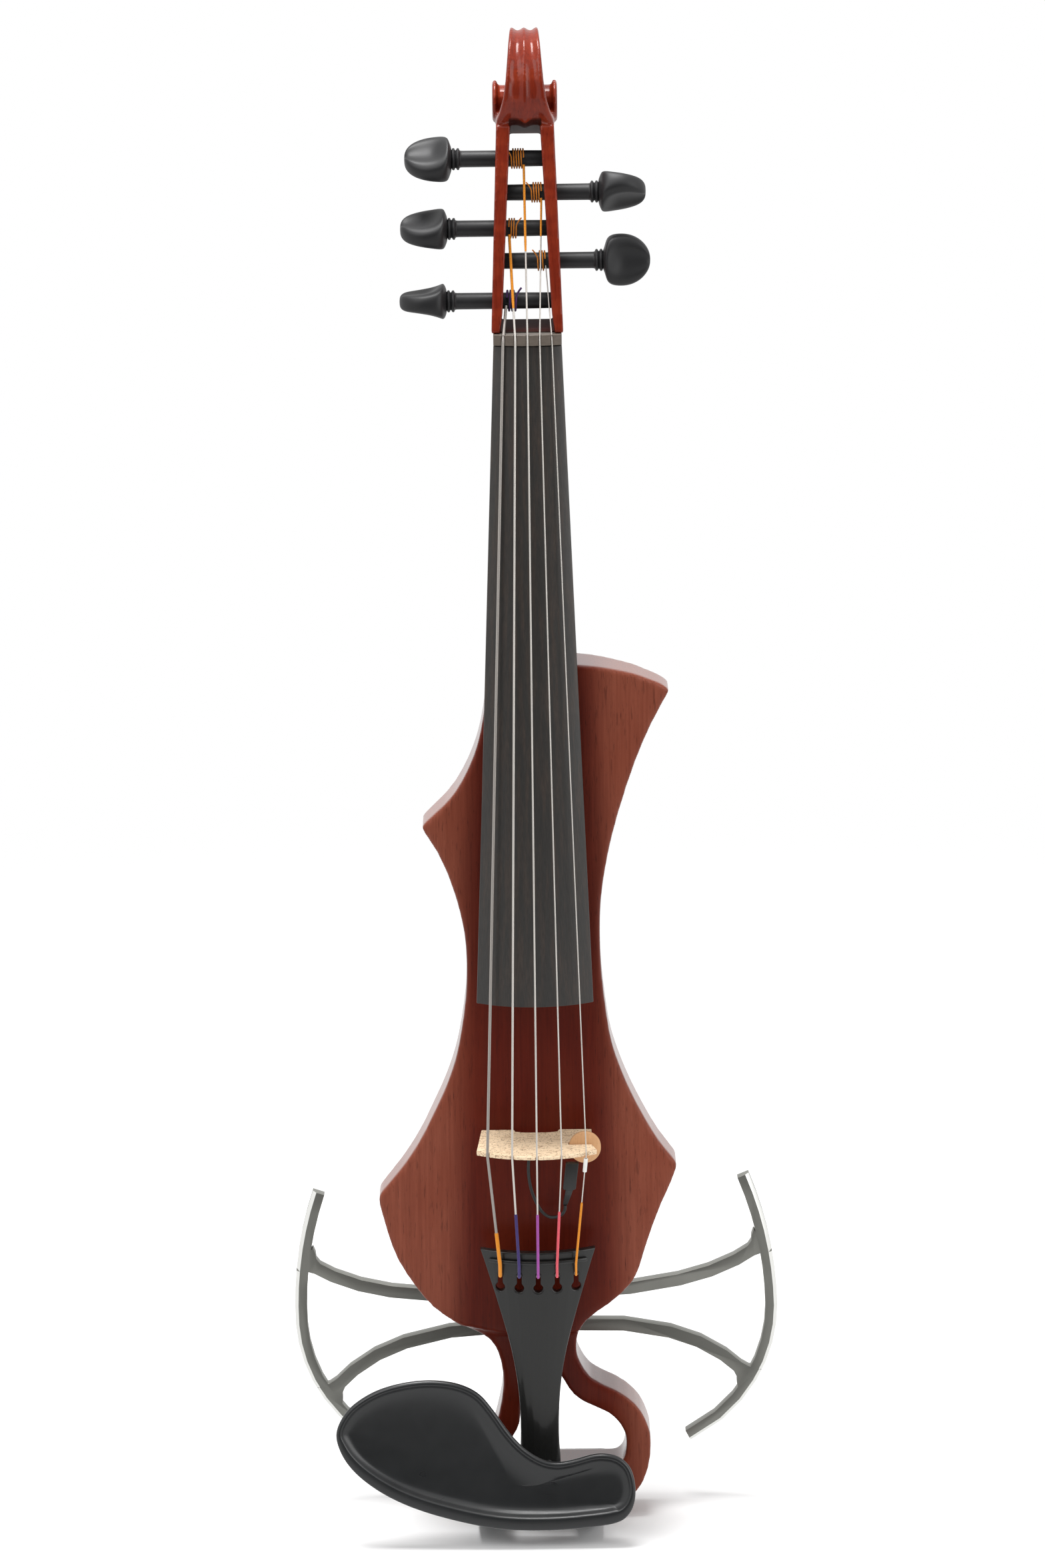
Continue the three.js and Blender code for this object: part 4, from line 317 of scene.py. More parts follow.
stained_maple, shader, place = new_finish("stained_maple")
across = place.node("ShaderNodeSeparateXYZ", {}, {"Vector": place})
up = across.other(2)
deck_half = 19 - (up + shoulder_down) * (11 / body_length)
# Away from the deck the flanks are painted paler: partly a paler stain, partly painted sheen of the side
# lamps.
flank = between(abs(across) - deck_half, -1.5, 15)
figure = mottle(place, (0.045, 0.045, 0.022), 3)
streaks = mottle(place, (0.95, 0.95, 0.03), 5, 0.6)
pores = between(mottle(place, (2.4, 2.4, 0.16), 3, 0.55), 0.6, 0.74)
fleck = between(mottle(place, (0.8, 0.8, 0.11), 2), 0.62, 0.72)
dark = blended(streaks, paint(60, 10, 4), paint(98, 28, 12))
pale_and_sheen = blended(streaks, paint(106, 50, 34), paint(150, 84, 64))
ground = blended(flank * (0.75 + 0.25 * figure), dark, pale_and_sheen)
lit = blended(between(figure, 0.35, 0.75) * 0.35, ground, paint(104, 38, 18))
spotted = blended(fleck * 0.3, lit, paint(44, 12, 6))
grained = blended(pores * 0.55, spotted, paint(40, 12, 7))
wall = place.node("ShaderNodeAttribute", {"attribute_name": "wall"}, {}, 2)
dress(shader, Base_Color=grained, Roughness=0.42 + 0.12 * streaks, Specular_IOR_Level=0.1,
      Coat_Weight=0.12 + 0.88 * wall, Coat_Roughness=0.2,
      Normal=relief(pores * -0.7 + streaks * 0.25, 3e-5))

carving = sanded_copy("body", 0.95, 9, "carving", stained_maple, "stained_maple")
wall = carving.data.attributes.new("wall", "FLOAT", "POINT")
for share, corner in zip(wall.data, carving.data.vertices):
    share.value = min(1.0, max(0.0, 1.4 - 2 * abs(corner.normal.y)))


# Neck, pegbox and scroll
# One piece of maple from the heel to the scroll: a half-round neck, two cheeks open right through,
# and a fluted band that winds over the top to the ears. Darker red and glossier than the body.
varnished_maple, shader, place = new_finish("varnished_maple")
streaks = mottle(place, (1.1, 1.1, 0.035), 5, 0.6)
pores = between(mottle(place, (3, 3, 0.22), 3), 0.6, 0.74)
figure = mottle(place, (0.06, 0.06, 0.16), 2)
ground = blended(streaks, paint(80, 20, 10), paint(140, 46, 24))
flamed = blended(between(figure, 0.4, 0.7) * 0.3, ground, paint(152, 58, 30))
grained = blended(pores * 0.5, flamed, paint(42, 12, 7))
across = place.node("ShaderNodeSeparateXYZ", {}, {"Vector": place})
back, up = across.other(1), across.other(2)
# Inside the pegbox the wood is painted near black as painted shade; there it is also rougher and without
# coat.
in_box_shade = (1 - between(abs(across) + up * 0.057, 11.3, 11.7)) * between(up, 3.6, 4.4)
in_box_shade = in_box_shade * (1 - between(up, 88, 90)) * between(back - up * 0.12, 0.8, 1.6)
dress(shader, Base_Color=blended(in_box_shade * 0.85, grained, paint(26, 9, 6)),
      Roughness=0.24 + 0.1 * streaks + in_box_shade * 0.35, Specular_IOR_Level=0.14,
      Coat_Weight=0.24 - in_box_shade * 0.24, Coat_Roughness=0.1,
      Normal=relief(pores * -0.5 + streaks * 0.2, 1.5e-5))


def merged(bm, part):
    """Adds a mesh to another."""
    mesh = written(part, "part")
    bm.from_mesh(mesh)
    bpy.data.meshes.remove(mesh)


def drawn_on(bm, face):
    """Draws a face one step on and returns the new one. Nothing stays inside the shape."""
    made = bmesh.ops.extrude_face_region(bm, geom=[face])["geom"]
    if any(len(edge.link_faces) > 2 for edge in face.edges):
        bmesh.ops.delete(bm, geom=[face], context="FACES_ONLY")
    return next(g for g in made if isinstance(g, bmesh.types.BMFace))


def round_face(bm, sides, radius=1.0):
    """One flat face with its corners on a circle."""
    bmesh.ops.create_circle(bm, cap_ends=True, segments=sides, radius=radius)
    return bm.faces[:][0]


def drawn_rings(rings):
    """A closed shape drawn out from ring to ring, all with the same number of corners in order."""
    count = len(rings[0])
    bm = bmesh.new()
    face = round_face(bm, count)
    for _ in rings[1:]:
        face = drawn_on(bm, face)
        bmesh.ops.translate(bm, vec=(0, 0, 1), verts=face.verts)
    for corner in bm.verts:
        i = round(atan2(corner.co.y, corner.co.x) / (2 * pi) * count) % count
        corner.co = rings[round(corner.co.z)][i]
    bmesh.ops.recalc_face_normals(bm, faces=bm.faces)
    return bm


def along_line(points):
    """Placements along a line, each square to the way through it and turned as little as can be."""
    ways = [(b - a).normalized() for a, b in zip([points[0], *points], [*points[1:], points[-1]])]
    side = ways[0].orthogonal().normalized()
    placements = []
    for way, point in zip(ways, points):
        side = (side - way * side.dot(way)).normalized()
        basis = Matrix((side, way.cross(side), way)).transposed().to_4x4()
        basis.translation = point
        placements.append(basis)
    return placements


def drawn(line, radius, sides=12):
    """A round wire through a line. Its radius is one number or one for each point."""
    radii = radius if isinstance(radius, list) else [radius] * len(line)
    placements = [spot @ Matrix.Scale(r, 4) for spot, r in zip(along_line(line), radii)]
    bm = bmesh.new()
    face = round_face(bm, sides)
    bmesh.ops.transform(bm, matrix=placements[0], verts=bm.verts)
    for before, after in zip(placements, placements[1:]):
        face = drawn_on(bm, face)
        bmesh.ops.transform(bm, matrix=after @ before.inverted(), verts=face.verts)
    return bm


scroll_eye = Vector((0, 27, 94))
scroll_radius = 29
scroll_half_width = 11.6
band_thickness = 5.5
# Rows of angle from straight back, and shares of the radius and of the half width.
scroll_turn = [
    (-38, 0.8, 0.69), (-15, 0.85, 0.57), (10, 0.89, 0.52), (35, 0.95, 0.5), (60, 1, 0.49), (85, 1, 0.49),
    (110, 0.93, 0.54), (130, 0.84, 0.59), (150, 0.74, 0.65), (170, 0.66, 0.74), (188, 0.61, 0.86),
    (203, 0.58, 0.98), (216, 0.52, 1), (232, 0.43, 1), (250, 0.36, 0.98), (270, 0.3, 0.95),
]
half_flute = [
    (1, -0.75), (0.97, -0.1), (0.9, 0.12), (0.8, 0.02), (0.66, -0.6), (0.48, -0.95), (0.3, -0.75),
    (0.12, -0.3), (0.05, 0),
]
flutes = [(-across, deep) for across, deep in half_flute] + [(0, 0.1)] + half_flute[::-1]


def round_scroll(across, radius, angle):
    """A place beside the scroll's eye, by its distance from it and its angle from straight back."""
    way = Vector((0, cos(radians(angle)), sin(radians(angle))))
    return scroll_eye + radius * way + Vector((across, 0, 0))


def scroll_ring(angle, radius_share, width_share):
    """One section of the scroll's band: two flutes outside, flat inside."""
    radius = radius_share * scroll_radius
    half = width_share * scroll_half_width
    lip = min(1, max(0, (width_share - 0.6) / 0.4))
    depth = 1.3 + 0.7 * lip * lip * (3 - 2 * lip)
    inner = radius - min(band_thickness, radius - 4.2)
    section = [(across, radius + deep * depth) for across, deep in flutes] + [(1, inner), (-1, inner)]
    return [round_scroll(across * half, reach, angle) for across, reach in section]


# Rows of angle, distance from the eye and distance from the middle.
inner_turn = [
    (-36, 18, 4.6), (0, 18, 4.3), (45, 18, 4.2), (90, 17.6, 4.2), (135, 16, 4.6), (180, 13.8, 5.8),
    (225, 12, 7.4), (270, 10.6, 8.8), (315, 9.6, 9.4), (360, 8.6, 9.6), (405, 7.4, 9.6),
]
ridge_radius = 1.4
# Neighbouring pieces stand this far apart.
clearance = 0.3
neck_half_at_nut = 13.6
neck_half_at_body = 16.4
neck_depth_at_nut = 19
neck_depth_at_body = 21
board_length = 266
board_edge = 5
board_half_at_end = 23.6
board_top_at_nut = 1.8
board_top_at_end = 23


def part_way(first, last, share):
    return first + (last - first) * share


def arch_drop(across, radius=42.0):
    """How far an arched top lies below its middle."""
    return radius - sqrt(radius ** 2 - across ** 2)


def under_board(half, top):
    return board_edge + arch_drop(half) - top


def neck_ring(down, heel_share):
    """One section of the neck: flat under the fingerboard, half-round behind, squarer at the heel."""
    along_board = down / board_length
    along_neck = down / shoulder_down
    half = part_way(neck_half_at_nut, neck_half_at_body, along_neck)
    top = part_way(board_top_at_nut, board_top_at_end, along_board)
    flat = clearance + part_way(under_board(neck_half_at_nut, board_top_at_nut),
                                under_board(board_half_at_end, board_top_at_end), along_board)
    shaft_back = part_way(neck_depth_at_nut, neck_depth_at_body, along_neck) - top
    deep = part_way(shaft_back, body_depth, heel_share) - flat
    power = 0.8 - 0.45 * heel_share
    angles = [pi * i / 32 for i in range(33)]
    return [Vector((-half * cos(a), flat + deep * sin(a) ** power, -down)) for a in angles]


# The shares are scaled up here, so that the steps along the rows are even.
evened = 90
winding = through([(angle, evened * radius, evened * wide) for angle, radius, wide in scroll_turn], 5)
shaping = drawn_rings([scroll_ring(spot.x, spot.y / evened, spot.z / evened) for spot in winding])
heel = through([(0, 0, 0), (35, 0, 0), (70, 0, 0), (104, 0, 0), (109, 0.8, 0), (113.1, 3.4, 0),
                (120.9, 11, 0), (126.36, 19.8, 0), (shoulder_down - clearance, 24.7, 0)], 3)
merged(shaping, drawn_rings([neck_ring(spot.x, max(0, spot.y) / body_depth) for spot in heel]))
for side in (-1, 1):
    ridge = through([round_scroll(side * across, reach, angle) for angle, reach, across in inner_turn], 4)
    merged(shaping, drawn(ridge, ridge_radius))
bmesh.ops.transform(shaping, matrix=on_violin, verts=shaping.verts)
bm = copied("neck")
tenon_top = (on_violin @ Vector((0, 0, 5 - shoulder_down))).z
for corner in bm.verts:
    if abs(corner.co.z - tenon_top) < 0.05 * mm:
        corner.co.z -= 5.5 * mm
merged(bm, shaping)
fitted(rubbed(bm, 0.52, 5), "neck_carving", varnished_maple, "varnished_maple", ["neck"], smooth)


# Fingerboard and nut
# The fingerboard is planed from ebony, arched across, with a flat under the lowest string, and is
# glued on the neck. The nut is a strip of grey-brown hard wood with a groove filed for each string.
def bevelled(bm, edges, width, segments=3):
    bmesh.ops.bevel(bm, geom=edges, offset=width, offset_type="OFFSET", segments=segments, profile=0.5,
                    affect="EDGES", material=-1, clamp_overlap=True)
    return bm


def built(bm, *details, **more):
    """Places a mesh made in millimetres on the violin and fits it."""
    bmesh.ops.transform(bm, matrix=on_violin, verts=bm.verts)
    bmesh.ops.recalc_face_normals(bm, faces=bm.faces)
    return fitted(bm, *details, **more)


ebony, shader, place = new_finish("ebony")
black = paint(50, 48, 46)
bands = between(mottle(place, (0.55, 0.55, 0.006), 4, 0.6), 0.42, 0.68)
fibres = mottle(place, (3.4, 3.4, 0.05), 3)
scuffs = between(mottle(place, (0.09, 0.09, 0.03), 4), 0.5, 0.8)
ground = blended(bands * 0.75, black, paint(66, 56, 50))
grained = blended(between(fibres, 0.35, 0.7) * 0.5, ground, shade(black, 0.55))
dress(shader, Base_Color=grained, Roughness=0.34 + 0.12 * fibres + 0.06 * scuffs,
      Specular_IOR_Level=0.4, Normal=relief(fibres, 1.2e-5))


def board_section(bm, half, top, down):
    """The edge loop of the board's section: arc, flat under the low string, sides and underside."""
    flat_width = 7 * half / board_half_at_end
    arc = [-half + flat_width + (2 * half - flat_width) * i / 40 for i in range(41)]
    outline = [(-half, arch_drop(half) - top)] + [(x, arch_drop(x) - top) for x in arc]
    outline += [(half, under_board(half, top)), (-half, under_board(half, top))]
    corners = [bm.verts.new((x, y, -down)) for x, y in outline]
    return [bm.edges.new((a, b)) for a, b in zip(corners, corners[1:] + corners[:1])]


bm = bmesh.new()
near_nut = board_section(bm, neck_half_at_nut, board_top_at_nut, 0)
near_bridge = board_section(bm, board_half_at_end, board_top_at_end, board_length)
bmesh.ops.bridge_loops(bm, edges=near_nut + near_bridge)
bmesh.ops.edgeloop_fill(bm, edges=near_nut)
bmesh.ops.edgeloop_fill(bm, edges=near_bridge)
rims = [e for e in bm.edges if len(e.link_faces) == 2 and e.calc_face_angle(0) > radians(50)]
built(bevelled(bm, rims, 0.35), "fingerboard_planed", ebony, "ebony", ["fingerboard"], 30)

nut_wood, shader, place = new_finish("grey_nut")
fibres = mottle(place, (0.2, 2.5, 2.5), 3)
cloudy = mottle(place, 0.3, 2)
ground = blended(fibres, paint(84, 76, 68), paint(112, 103, 94))
dress(shader, Base_Color=blended(cloudy * 0.4, ground, paint(96, 84, 74)),
      Roughness=0.38 + 0.1 * fibres, Specular_IOR_Level=0.4, Normal=relief(fibres, 1e-5))

sanded_copy("nut", 0.2, 4, "filed", nut_wood, "grey_nut")


# Pegs
# Five turned pegs of black wood: a tapering shaft through both cheeks, two thin collar rings, and a
# thumb piece dished on both sides. Each one stands at its own angle, as it was left when tuned.
def swung(bm, angle, axis):
    bmesh.ops.rotate(bm, verts=bm.verts, cent=(0, 0, 0), matrix=Matrix.Rotation(radians(angle), 3, axis))
    return bm


def moved(bm, place):
    bmesh.ops.translate(bm, vec=place, verts=bm.verts)
    return bm


def turned(profile, steps=48):
    """Turns a profile of (place along X, radius) about the X axis."""
    bm = bmesh.new()
    chain = [bm.verts.new((along, 0, radius)) for along, radius in profile]
    edges = [bm.edges.new((a, b)) for a, b in zip(chain, chain[1:])]
    bmesh.ops.spin(bm, geom=chain + edges, cent=(0, 0, 0), axis=(1, 0, 0), dvec=(0, 0, 0),
                   angle=2 * pi, steps=steps, use_merge=True)
    bmesh.ops.remove_doubles(bm, verts=bm.verts, dist=1e-4)
    return bm


thumb_length = 18.8
thumb_half_width = 10.6
thumb_half_thickness = 6.6
# Rows of shares along the thumb piece, of its half width and of its half thickness.
thumb_sections = [
    (-0.02, 0.34, 0.6), (0.015, 0.42, 0.9), (0.05, 0.68, 1.06), (0.09, 0.85, 1.05), (0.18, 0.96, 0.95),
    (0.3, 0.995, 0.84), (0.42, 1.0, 0.76), (0.55, 0.97, 0.69), (0.68, 0.88, 0.64), (0.8, 0.74, 0.61),
    (0.9, 0.54, 0.56), (0.965, 0.33, 0.42), (0.99, 0.12, 0.22),
]


def thumb_ring(head_out, along, wide, thick):
    """One section of the thumb piece: an oval with its two broad sides dished."""
    ring = []
    for angle in [2 * pi * i / 20 for i in range(20)]:
        in_middle = max(0, 1 - (cos(angle) / 0.6) ** 2)
        dish = 0.42 * min(1, max(0, (along - 0.12) / 0.25)) * in_middle
        oval = copysign(sqrt(abs(sin(angle))), sin(angle))
        ring.append(Vector((-head_out - along * thumb_length, wide * thumb_half_width * cos(angle),
                            thick * thumb_half_thickness * oval * (1 - dish))))
    return ring


def black_wood(name, colour, rough, polish=0.0):
    material, shader, place = new_finish(name)
    fibres = mottle(place, 1.6, 3)
    cloudy = mottle(place, 0.1, 3)
    dress(shader, Base_Color=blended(cloudy * 0.7 + fibres * 0.2, colour, shade(colour, 1.35)),
          Specular_IOR_Level=0.3, Coat_Weight=polish, Coat_Roughness=0.12,
          Roughness=rough + 0.12 * cloudy, Normal=relief(fibres, 1e-5))
    return material


peg_wood = black_wood("peg_wood", paint(30, 30, 31), 0.42)
shaft_radius = 3.3
pegbox_half_at_nut = 14.3
pegbox_narrows = 3.1
pegbox_top = 86
# Rows of body, height, side, angle, and how far the thumb piece starts from the middle.
peg_places = [
    ("peg_top_left", 72.3, -1, 55, 29.53), ("peg_top_right", 59, 1, 53, 29.07),
    ("peg_middle_left", 45, -1, 69, 31.52), ("peg_low_right", 32.2, 1, 0, 30.6),
    ("peg_low_left", 16.6, -1, 90, 32.13),
]


def peg_centre(up):
    return Vector((0, 8 + 0.14 * up, up))


for number, (body, up, side, angle, head_out) in enumerate(peg_places, 1):
    far_end = pegbox_half_at_nut - pegbox_narrows * up / pegbox_top
    shaft = [
        (-1.6, 0), (-1.6, 2.9), (-0.6, 2.75), (0.0, 3.0), (0.25, 3.7), (0.55, 4.3), (0.95, 4.45),
        (1.35, 4.3), (1.6, 3.7), (1.8, 3.5), (2.05, 3.7), (2.35, 4.25), (2.75, 4.4), (3.15, 4.25),
        (3.4, 3.6), (3.7, 3.36), (4.4, shaft_radius), (head_out, 3.24), (head_out + far_end - 0.5, 3.12),
        (head_out + far_end, 2.7), (head_out + far_end, 0),
    ]
    bm = moved(turned(shaft), (-head_out, 0, 0))
    thumb = drawn_rings([thumb_ring(head_out, *section) for section in thumb_sections])
    merged(bm, worked(thumb, ("SUBSURF", {"levels": 2, "render_levels": 2})))
    swung(bm, 90 - angle, "X")
    if side > 0:
        swung(bm, 180, "Z")
    built(moved(bm, peg_centre(up)), f"peg_{number}_turned", peg_wood, "black_wood", [f"peg_{number}"],
          body=body)


# Strings' turns on the pegs
# Each string ends in coloured silk, laid in a few turns round its peg, with its free end sticking
# out. The three middle pegs and the top one carry orange silk, and the lowest one purple.
def silk(name, colour, axis):
    """Fine thread laid side by side, its ridges square to the given axis of the violin."""
    material, shader, place = new_finish(name)
    fuzz = mottle(place, 6, 3)
    ridges = place.node("ShaderNodeTexWave", {"wave_type": "BANDS", "bands_direction": axis}, {
        "Vector": place, "Scale": 0.9, "Distortion": 1.2, "Detail": 1.0}, 1)
    thread = ridges * 0.7 + fuzz * 0.3
    dress(shader, Base_Color=blended(thread, shade(colour, 0.55), shade(colour, 1.25)),
          Roughness=0.72 + 0.1 * fuzz, Specular_IOR_Level=0.25, Sheen_Weight=0.2, Sheen_Roughness=0.5,
          Normal=relief(thread, 8e-5))
    return material


string_diameters = [1.2, 0.9, 0.75, 0.6, 0.5]
steps_round = 36
# Rows of peg, where its turns start, the way they run, their number and the string.
windings = [
    (0, -0.7, -1, 5, 2), (1, 6.2, -1, 4, 3), (2, -6.9, 1, 3, 1), (3, 7.4, -1, 3, 4), (4, -8, 1, 3, 0),
]


def spread(span, i):
    return span * (i / 4 - 0.5)


def at_nut(i):
    across = spread(19.4, i)
    return Vector((across, arch_drop(across) - 2.6, 2.5))


def winding_size(string):
    """The thickness of a string's silk on its peg, and the radius of the middle of its turns."""
    thickness = 0.8 if string == 0 else 0.55
    return thickness, shaft_radius + clearance + thickness / 2


def touch_angle(peg, string):
    """Where a line from the nut just touches the turns, round the peg from its front over its top."""
    to_peg = peg_centre(peg_places[peg][1]) - at_nut(string)
    radius = winding_size(string)[1]
    return acos(radius / hypot(to_peg.y, to_peg.z)) - atan2(to_peg.z, to_peg.y)


def on_turn(peg, string, angle, across):
    radius = winding_size(string)[1]
    return peg_centre(peg_places[peg][1]) + Vector((across, -radius * cos(angle), radius * sin(angle)))


orange_turns = silk("orange_turns", paint(222, 132, 30), "X")
purple_turns = silk("purple_turns", paint(84, 50, 108), "X")
for peg, across, way, loops, string in windings:
    thickness = winding_size(string)[0]
    pitch = thickness + 0.44
    first = touch_angle(peg, string)
    rounds = [step / steps_round for step in range(loops * steps_round + 1)]
    line = [on_turn(peg, string, first + 2 * pi * r, across + way * pitch * r) for r in rounds]
    outward = line[-1] - peg_centre(peg_places[peg][1])
    outward.x = 0
    outward.normalize()
    leaving = (line[-1] - line[-2]).normalized()
    last = line[-1]
    for k, reach in enumerate((0.7, 1.5, 2.4, 3.3), 1):
        aside = Vector((way * 0.12 * k * k, 0, 0))
        line.append(last + leaving * reach + outward * reach ** 2 * 0.16 + aside)
    finish, slot = (purple_turns, "purple_silk") if string == 0 else (orange_turns, "orange_silk")
    built(drawn(line, thickness / 2, 10), f"peg_{peg + 1}_silk_turns", finish, slot,
          [f"peg_winding_{peg + 1}"], 60, peg_places[peg][0])


# Strings
# Five strings, thick to thin from left to right: a core wound with flat metal ribbon, which runs
# over the nut and the bridge to a ball in the tailpiece. Both ends are served with coloured silk.
bridge_height = 33
bridge_down = 326.6
tail_span = 31
tail_top_down = 371
tail_length = 97
slot_down = 381.8


def at_bridge(i):
    across = spread(40, i)
    return Vector((across, arch_drop(across) - bridge_height, -bridge_down))


def tail_front(across, down):
    """The tailpiece's front, more sharply arched and nearer the deck towards its narrow end."""
    along = (down - tail_top_down) / tail_length
    return 8 * along - 19.5 + arch_drop(across, 45 - 31 * along)


def in_tail(i, down, behind):
    """A string's place at the tailpiece, by how far behind its front it lies."""
    across = spread(tail_span, i)
    return Vector((across, tail_front(across, down) + behind, -down))


def at_fret(i):
    return in_tail(i, 375, -1.9 - string_diameters[i] / 2) - Vector((0, 0, 0.75))


def at_ball(i):
    return in_tail(i, slot_down, 6.1)


def at_peg(i):
    """Where the straight stretch ends, just clear of what turns with the peg."""
    peg, across = next((w[0], w[1]) for w in windings if w[4] == i)
    thickness, radius = winding_size(i)
    touch = on_turn(peg, i, touch_angle(peg, i), across)
    clear = radius + thickness / 2 + string_diameters[i] / 2 + clearance
    return touch + (at_nut(i) - touch).normalized() * sqrt(clear ** 2 - radius ** 2)


def rounded(corners, cut):
    """A line through corners with each inner corner taken off by a short curve."""
    line = [corners[0]]
    for before, corner, after in zip(corners, corners[1:], corners[2:]):
        short = min(cut, (before - corner).length / 2, (after - corner).length / 2)
        start = corner + (before - corner).normalized() * short
        end = corner + (after - corner).normalized() * short
        for share in (0, 0.25, 0.5, 0.75, 1):
            line.append(start.lerp(corner, share).lerp(corner.lerp(end, share), share))
    return line + [corners[-1]]


def stretch(line, high, low):
    """The part of a falling line between two heights."""
    part = [point for point in line if low < point.z < high]
    for a, b in zip(line, line[1:]):
        if a.z > high > b.z:
            part.insert(0, a.lerp(b, (a.z - high) / (a.z - b.z)))
        if a.z > low > b.z:
            part.append(a.lerp(b, (a.z - low) / (a.z - b.z)))
    return part


def string_metal(name, colour, rough):
    material, shader, place = new_finish(name)
    ribbon = place.node("ShaderNodeTexWave", {"wave_type": "BANDS", "bands_direction": "Z"}, {
        "Vector": place, "Scale": 0.75, "Distortion": 0.1}, 1)
    tarnish = mottle(place, (0.3, 0.3, 0.02), 3)
    dress(shader, Base_Color=blended(tarnish * 0.6 + ribbon * 0.2, colour, shade(colour, 0.72)),
          Metallic=0.75, Roughness=rough + 0.1 * tarnish, Normal=relief(ribbon, 3e-5))
    return material


wound_dull = string_metal("wound_dull", paint(176, 170, 164), 0.36)
wound_bright = string_metal("wound_bright", paint(226, 221, 214), 0.28)
silk_orange = silk("silk_orange", paint(240, 146, 34), "Z")
silk_navy = silk("silk_navy", paint(62, 48, 110), "Z")
silk_magenta = silk("silk_magenta", paint(164, 78, 164), "Z")
silk_pink = silk("silk_pink", paint(234, 92, 106), "Z")
# Rows of the height where the silk starts, its thickness, its finish and its slot.
tail_silks = [
    (-361.3, 1.6, silk_orange, "orange_silk"), (-352, 1.3, silk_navy, "purple_silk"),
    (-352, 1.2, silk_magenta, "purple_silk"), (-351, 1.15, silk_pink, "orange_silk"),
    (-348, 1.0, silk_orange, "orange_silk"),
]
# By string: the height where its silk from the peg ends, and its thickness.
peg_silks = {1: (14.9, 1.15), 2: (37.0, 1.0), 3: (42.5, 0.85)}
thin_edge = 0.02
for i, diameter in enumerate(string_diameters):
    bends = [at_peg(i), at_nut(i), at_bridge(i), at_fret(i), in_tail(i, slot_down, -0.3), at_ball(i)]
    line = rounded(bends, 0.9)
    bm = drawn(line, diameter / 2)
    ball = bmesh.ops.create_uvsphere(bm, u_segments=16, v_segments=10, radius=1.8)
    bmesh.ops.translate(bm, vec=at_ball(i), verts=ball["verts"])
    built(bm, f"string_{i + 1}_wound", wound_dull if i == 0 else wound_bright, "wire_steel",
          [f"string_{i + 1}"], 50)
    top, thickness, finish, slot = tail_silks[i]
    served = stretch(line[:-1], top, clearance - slot_down)
    served.insert(1, served[0].lerp(served[1], 0.03))
    radii = [diameter / 2 + thin_edge] + [thickness / 2] * (len(served) - 1)
    built(drawn(served, radii), f"string_{i + 1}_tail_silk", finish, slot, (), 50)
    if i in peg_silks:
        low, thickness = peg_silks[i]
        served = stretch(line, line[0].z - 0.02, low)
        served.insert(-1, served[-2].lerp(served[-1], 0.9))
        radii = [thickness / 2] * (len(served) - 1) + [diameter / 2 + thin_edge]
        built(drawn(served, radii), f"string_{i + 1}_peg_silk", silk_orange, "orange_silk", (), 50)


# Bridge
# A thin plate of pale flecked maple on two feet with a low arch between them and a slot in its right
# wing, thinner at its crown. It stands on the deck by the strings' pressure alone.
bridge_maple, shader, place = new_finish("bridge_maple")
grain = mottle(place, (0.1, 1.2, 1.2), 4)
fleck = between(mottle(place, (0.42, 1.3, 1.9), 2), 0.56, 0.62)
dashes = between(mottle(place, (1.3, 1.1, 1.6), 1), 0.6, 0.66)
ground = blended(grain, paint(240, 218, 188), paint(222, 194, 158))
flecked = blended(fleck * 0.6, ground, paint(168, 134, 100))
spotted = blended(dashes * 0.7, flecked, paint(130, 100, 72))
dress(shader, Base_Color=spotted, Roughness=0.55 + 0.1 * grain, Specular_IOR_Level=0.3,
      Normal=relief(grain * 0.6 + fleck * -0.4, 3e-5))

sanded_copy("bridge", 0.24, 3, "cut", bridge_maple, "bridge_maple")


# Pickup in the bridge
# A small turned disc of maple with the sensor inside, pressed into the slot of the right wing. Its
# black plug hangs below it, and the lead goes through a soft grommet in the deck.
disc_maple, shader, place = new_finish("disc_maple")
grain = mottle(place, (1.4, 1.4, 0.12), 4)
pores = between(mottle(place, (3, 3, 0.5), 2), 0.6, 0.72)
ground = blended(grain, paint(216, 172, 128), paint(190, 140, 96))
dress(shader, Base_Color=blended(pores * 0.4, ground, paint(150, 104, 68)),
      Roughness=0.5 + 0.1 * grain, Specular_IOR_Level=0.35, Normal=relief(grain, 2e-5))

disc_front = -17
bm = turned([(-1.3, 0), (-1.3, 6.1), (-1.2, 6.35), (-0.9, 6.5), (0.9, 6.5), (1.2, 6.35), (1.3, 6.1),
             (1.3, 0)], 64)
moved(swung(bm, 90, "Z"), (19.6, disc_front, -bridge_down))
built(bm, "pickup_disc_turned", disc_maple, "disc_maple", ["pickup_disc"])

soft_black = plastic("soft_black", paint(42, 43, 43), 0.4, 1.2e-5)
# Rows of the plug's middle, its width and its thickness, from the disc down to the boot's end.
plug_sections = [
    ((14.4, disc_front, -333.2), 5.2, 3.0), ((13.1, disc_front, -344.2), 5.2, 3.0),
    ((13.07, disc_front, -344.7), 2.9, 2.3), ((12.55, -16.2, -347), 2.7, 2.3),
    (Vector(boot_end) + Vector((0, 0, clearance)), 1.9, 1.9),
]
bm = bmesh.new()
face = round_face(bm, 4)
swung(bm, 45, "Z")
last = Vector()
for middle, wide, thick in plug_sections:
    if last.length:
        face = drawn_on(bm, face)
    for corner in face.verts:
        aside = copysign(wide / 2, corner.co.x - last.x)
        corner.co = Vector(middle) + Vector((aside, copysign(thick / 2, corner.co.y - last.y), 0))
    last = Vector(middle)
built(bevelled(bm, bm.edges[:], 0.5), "pickup_plug_moulded", soft_black, "black_plastic", ["pickup_plug"])

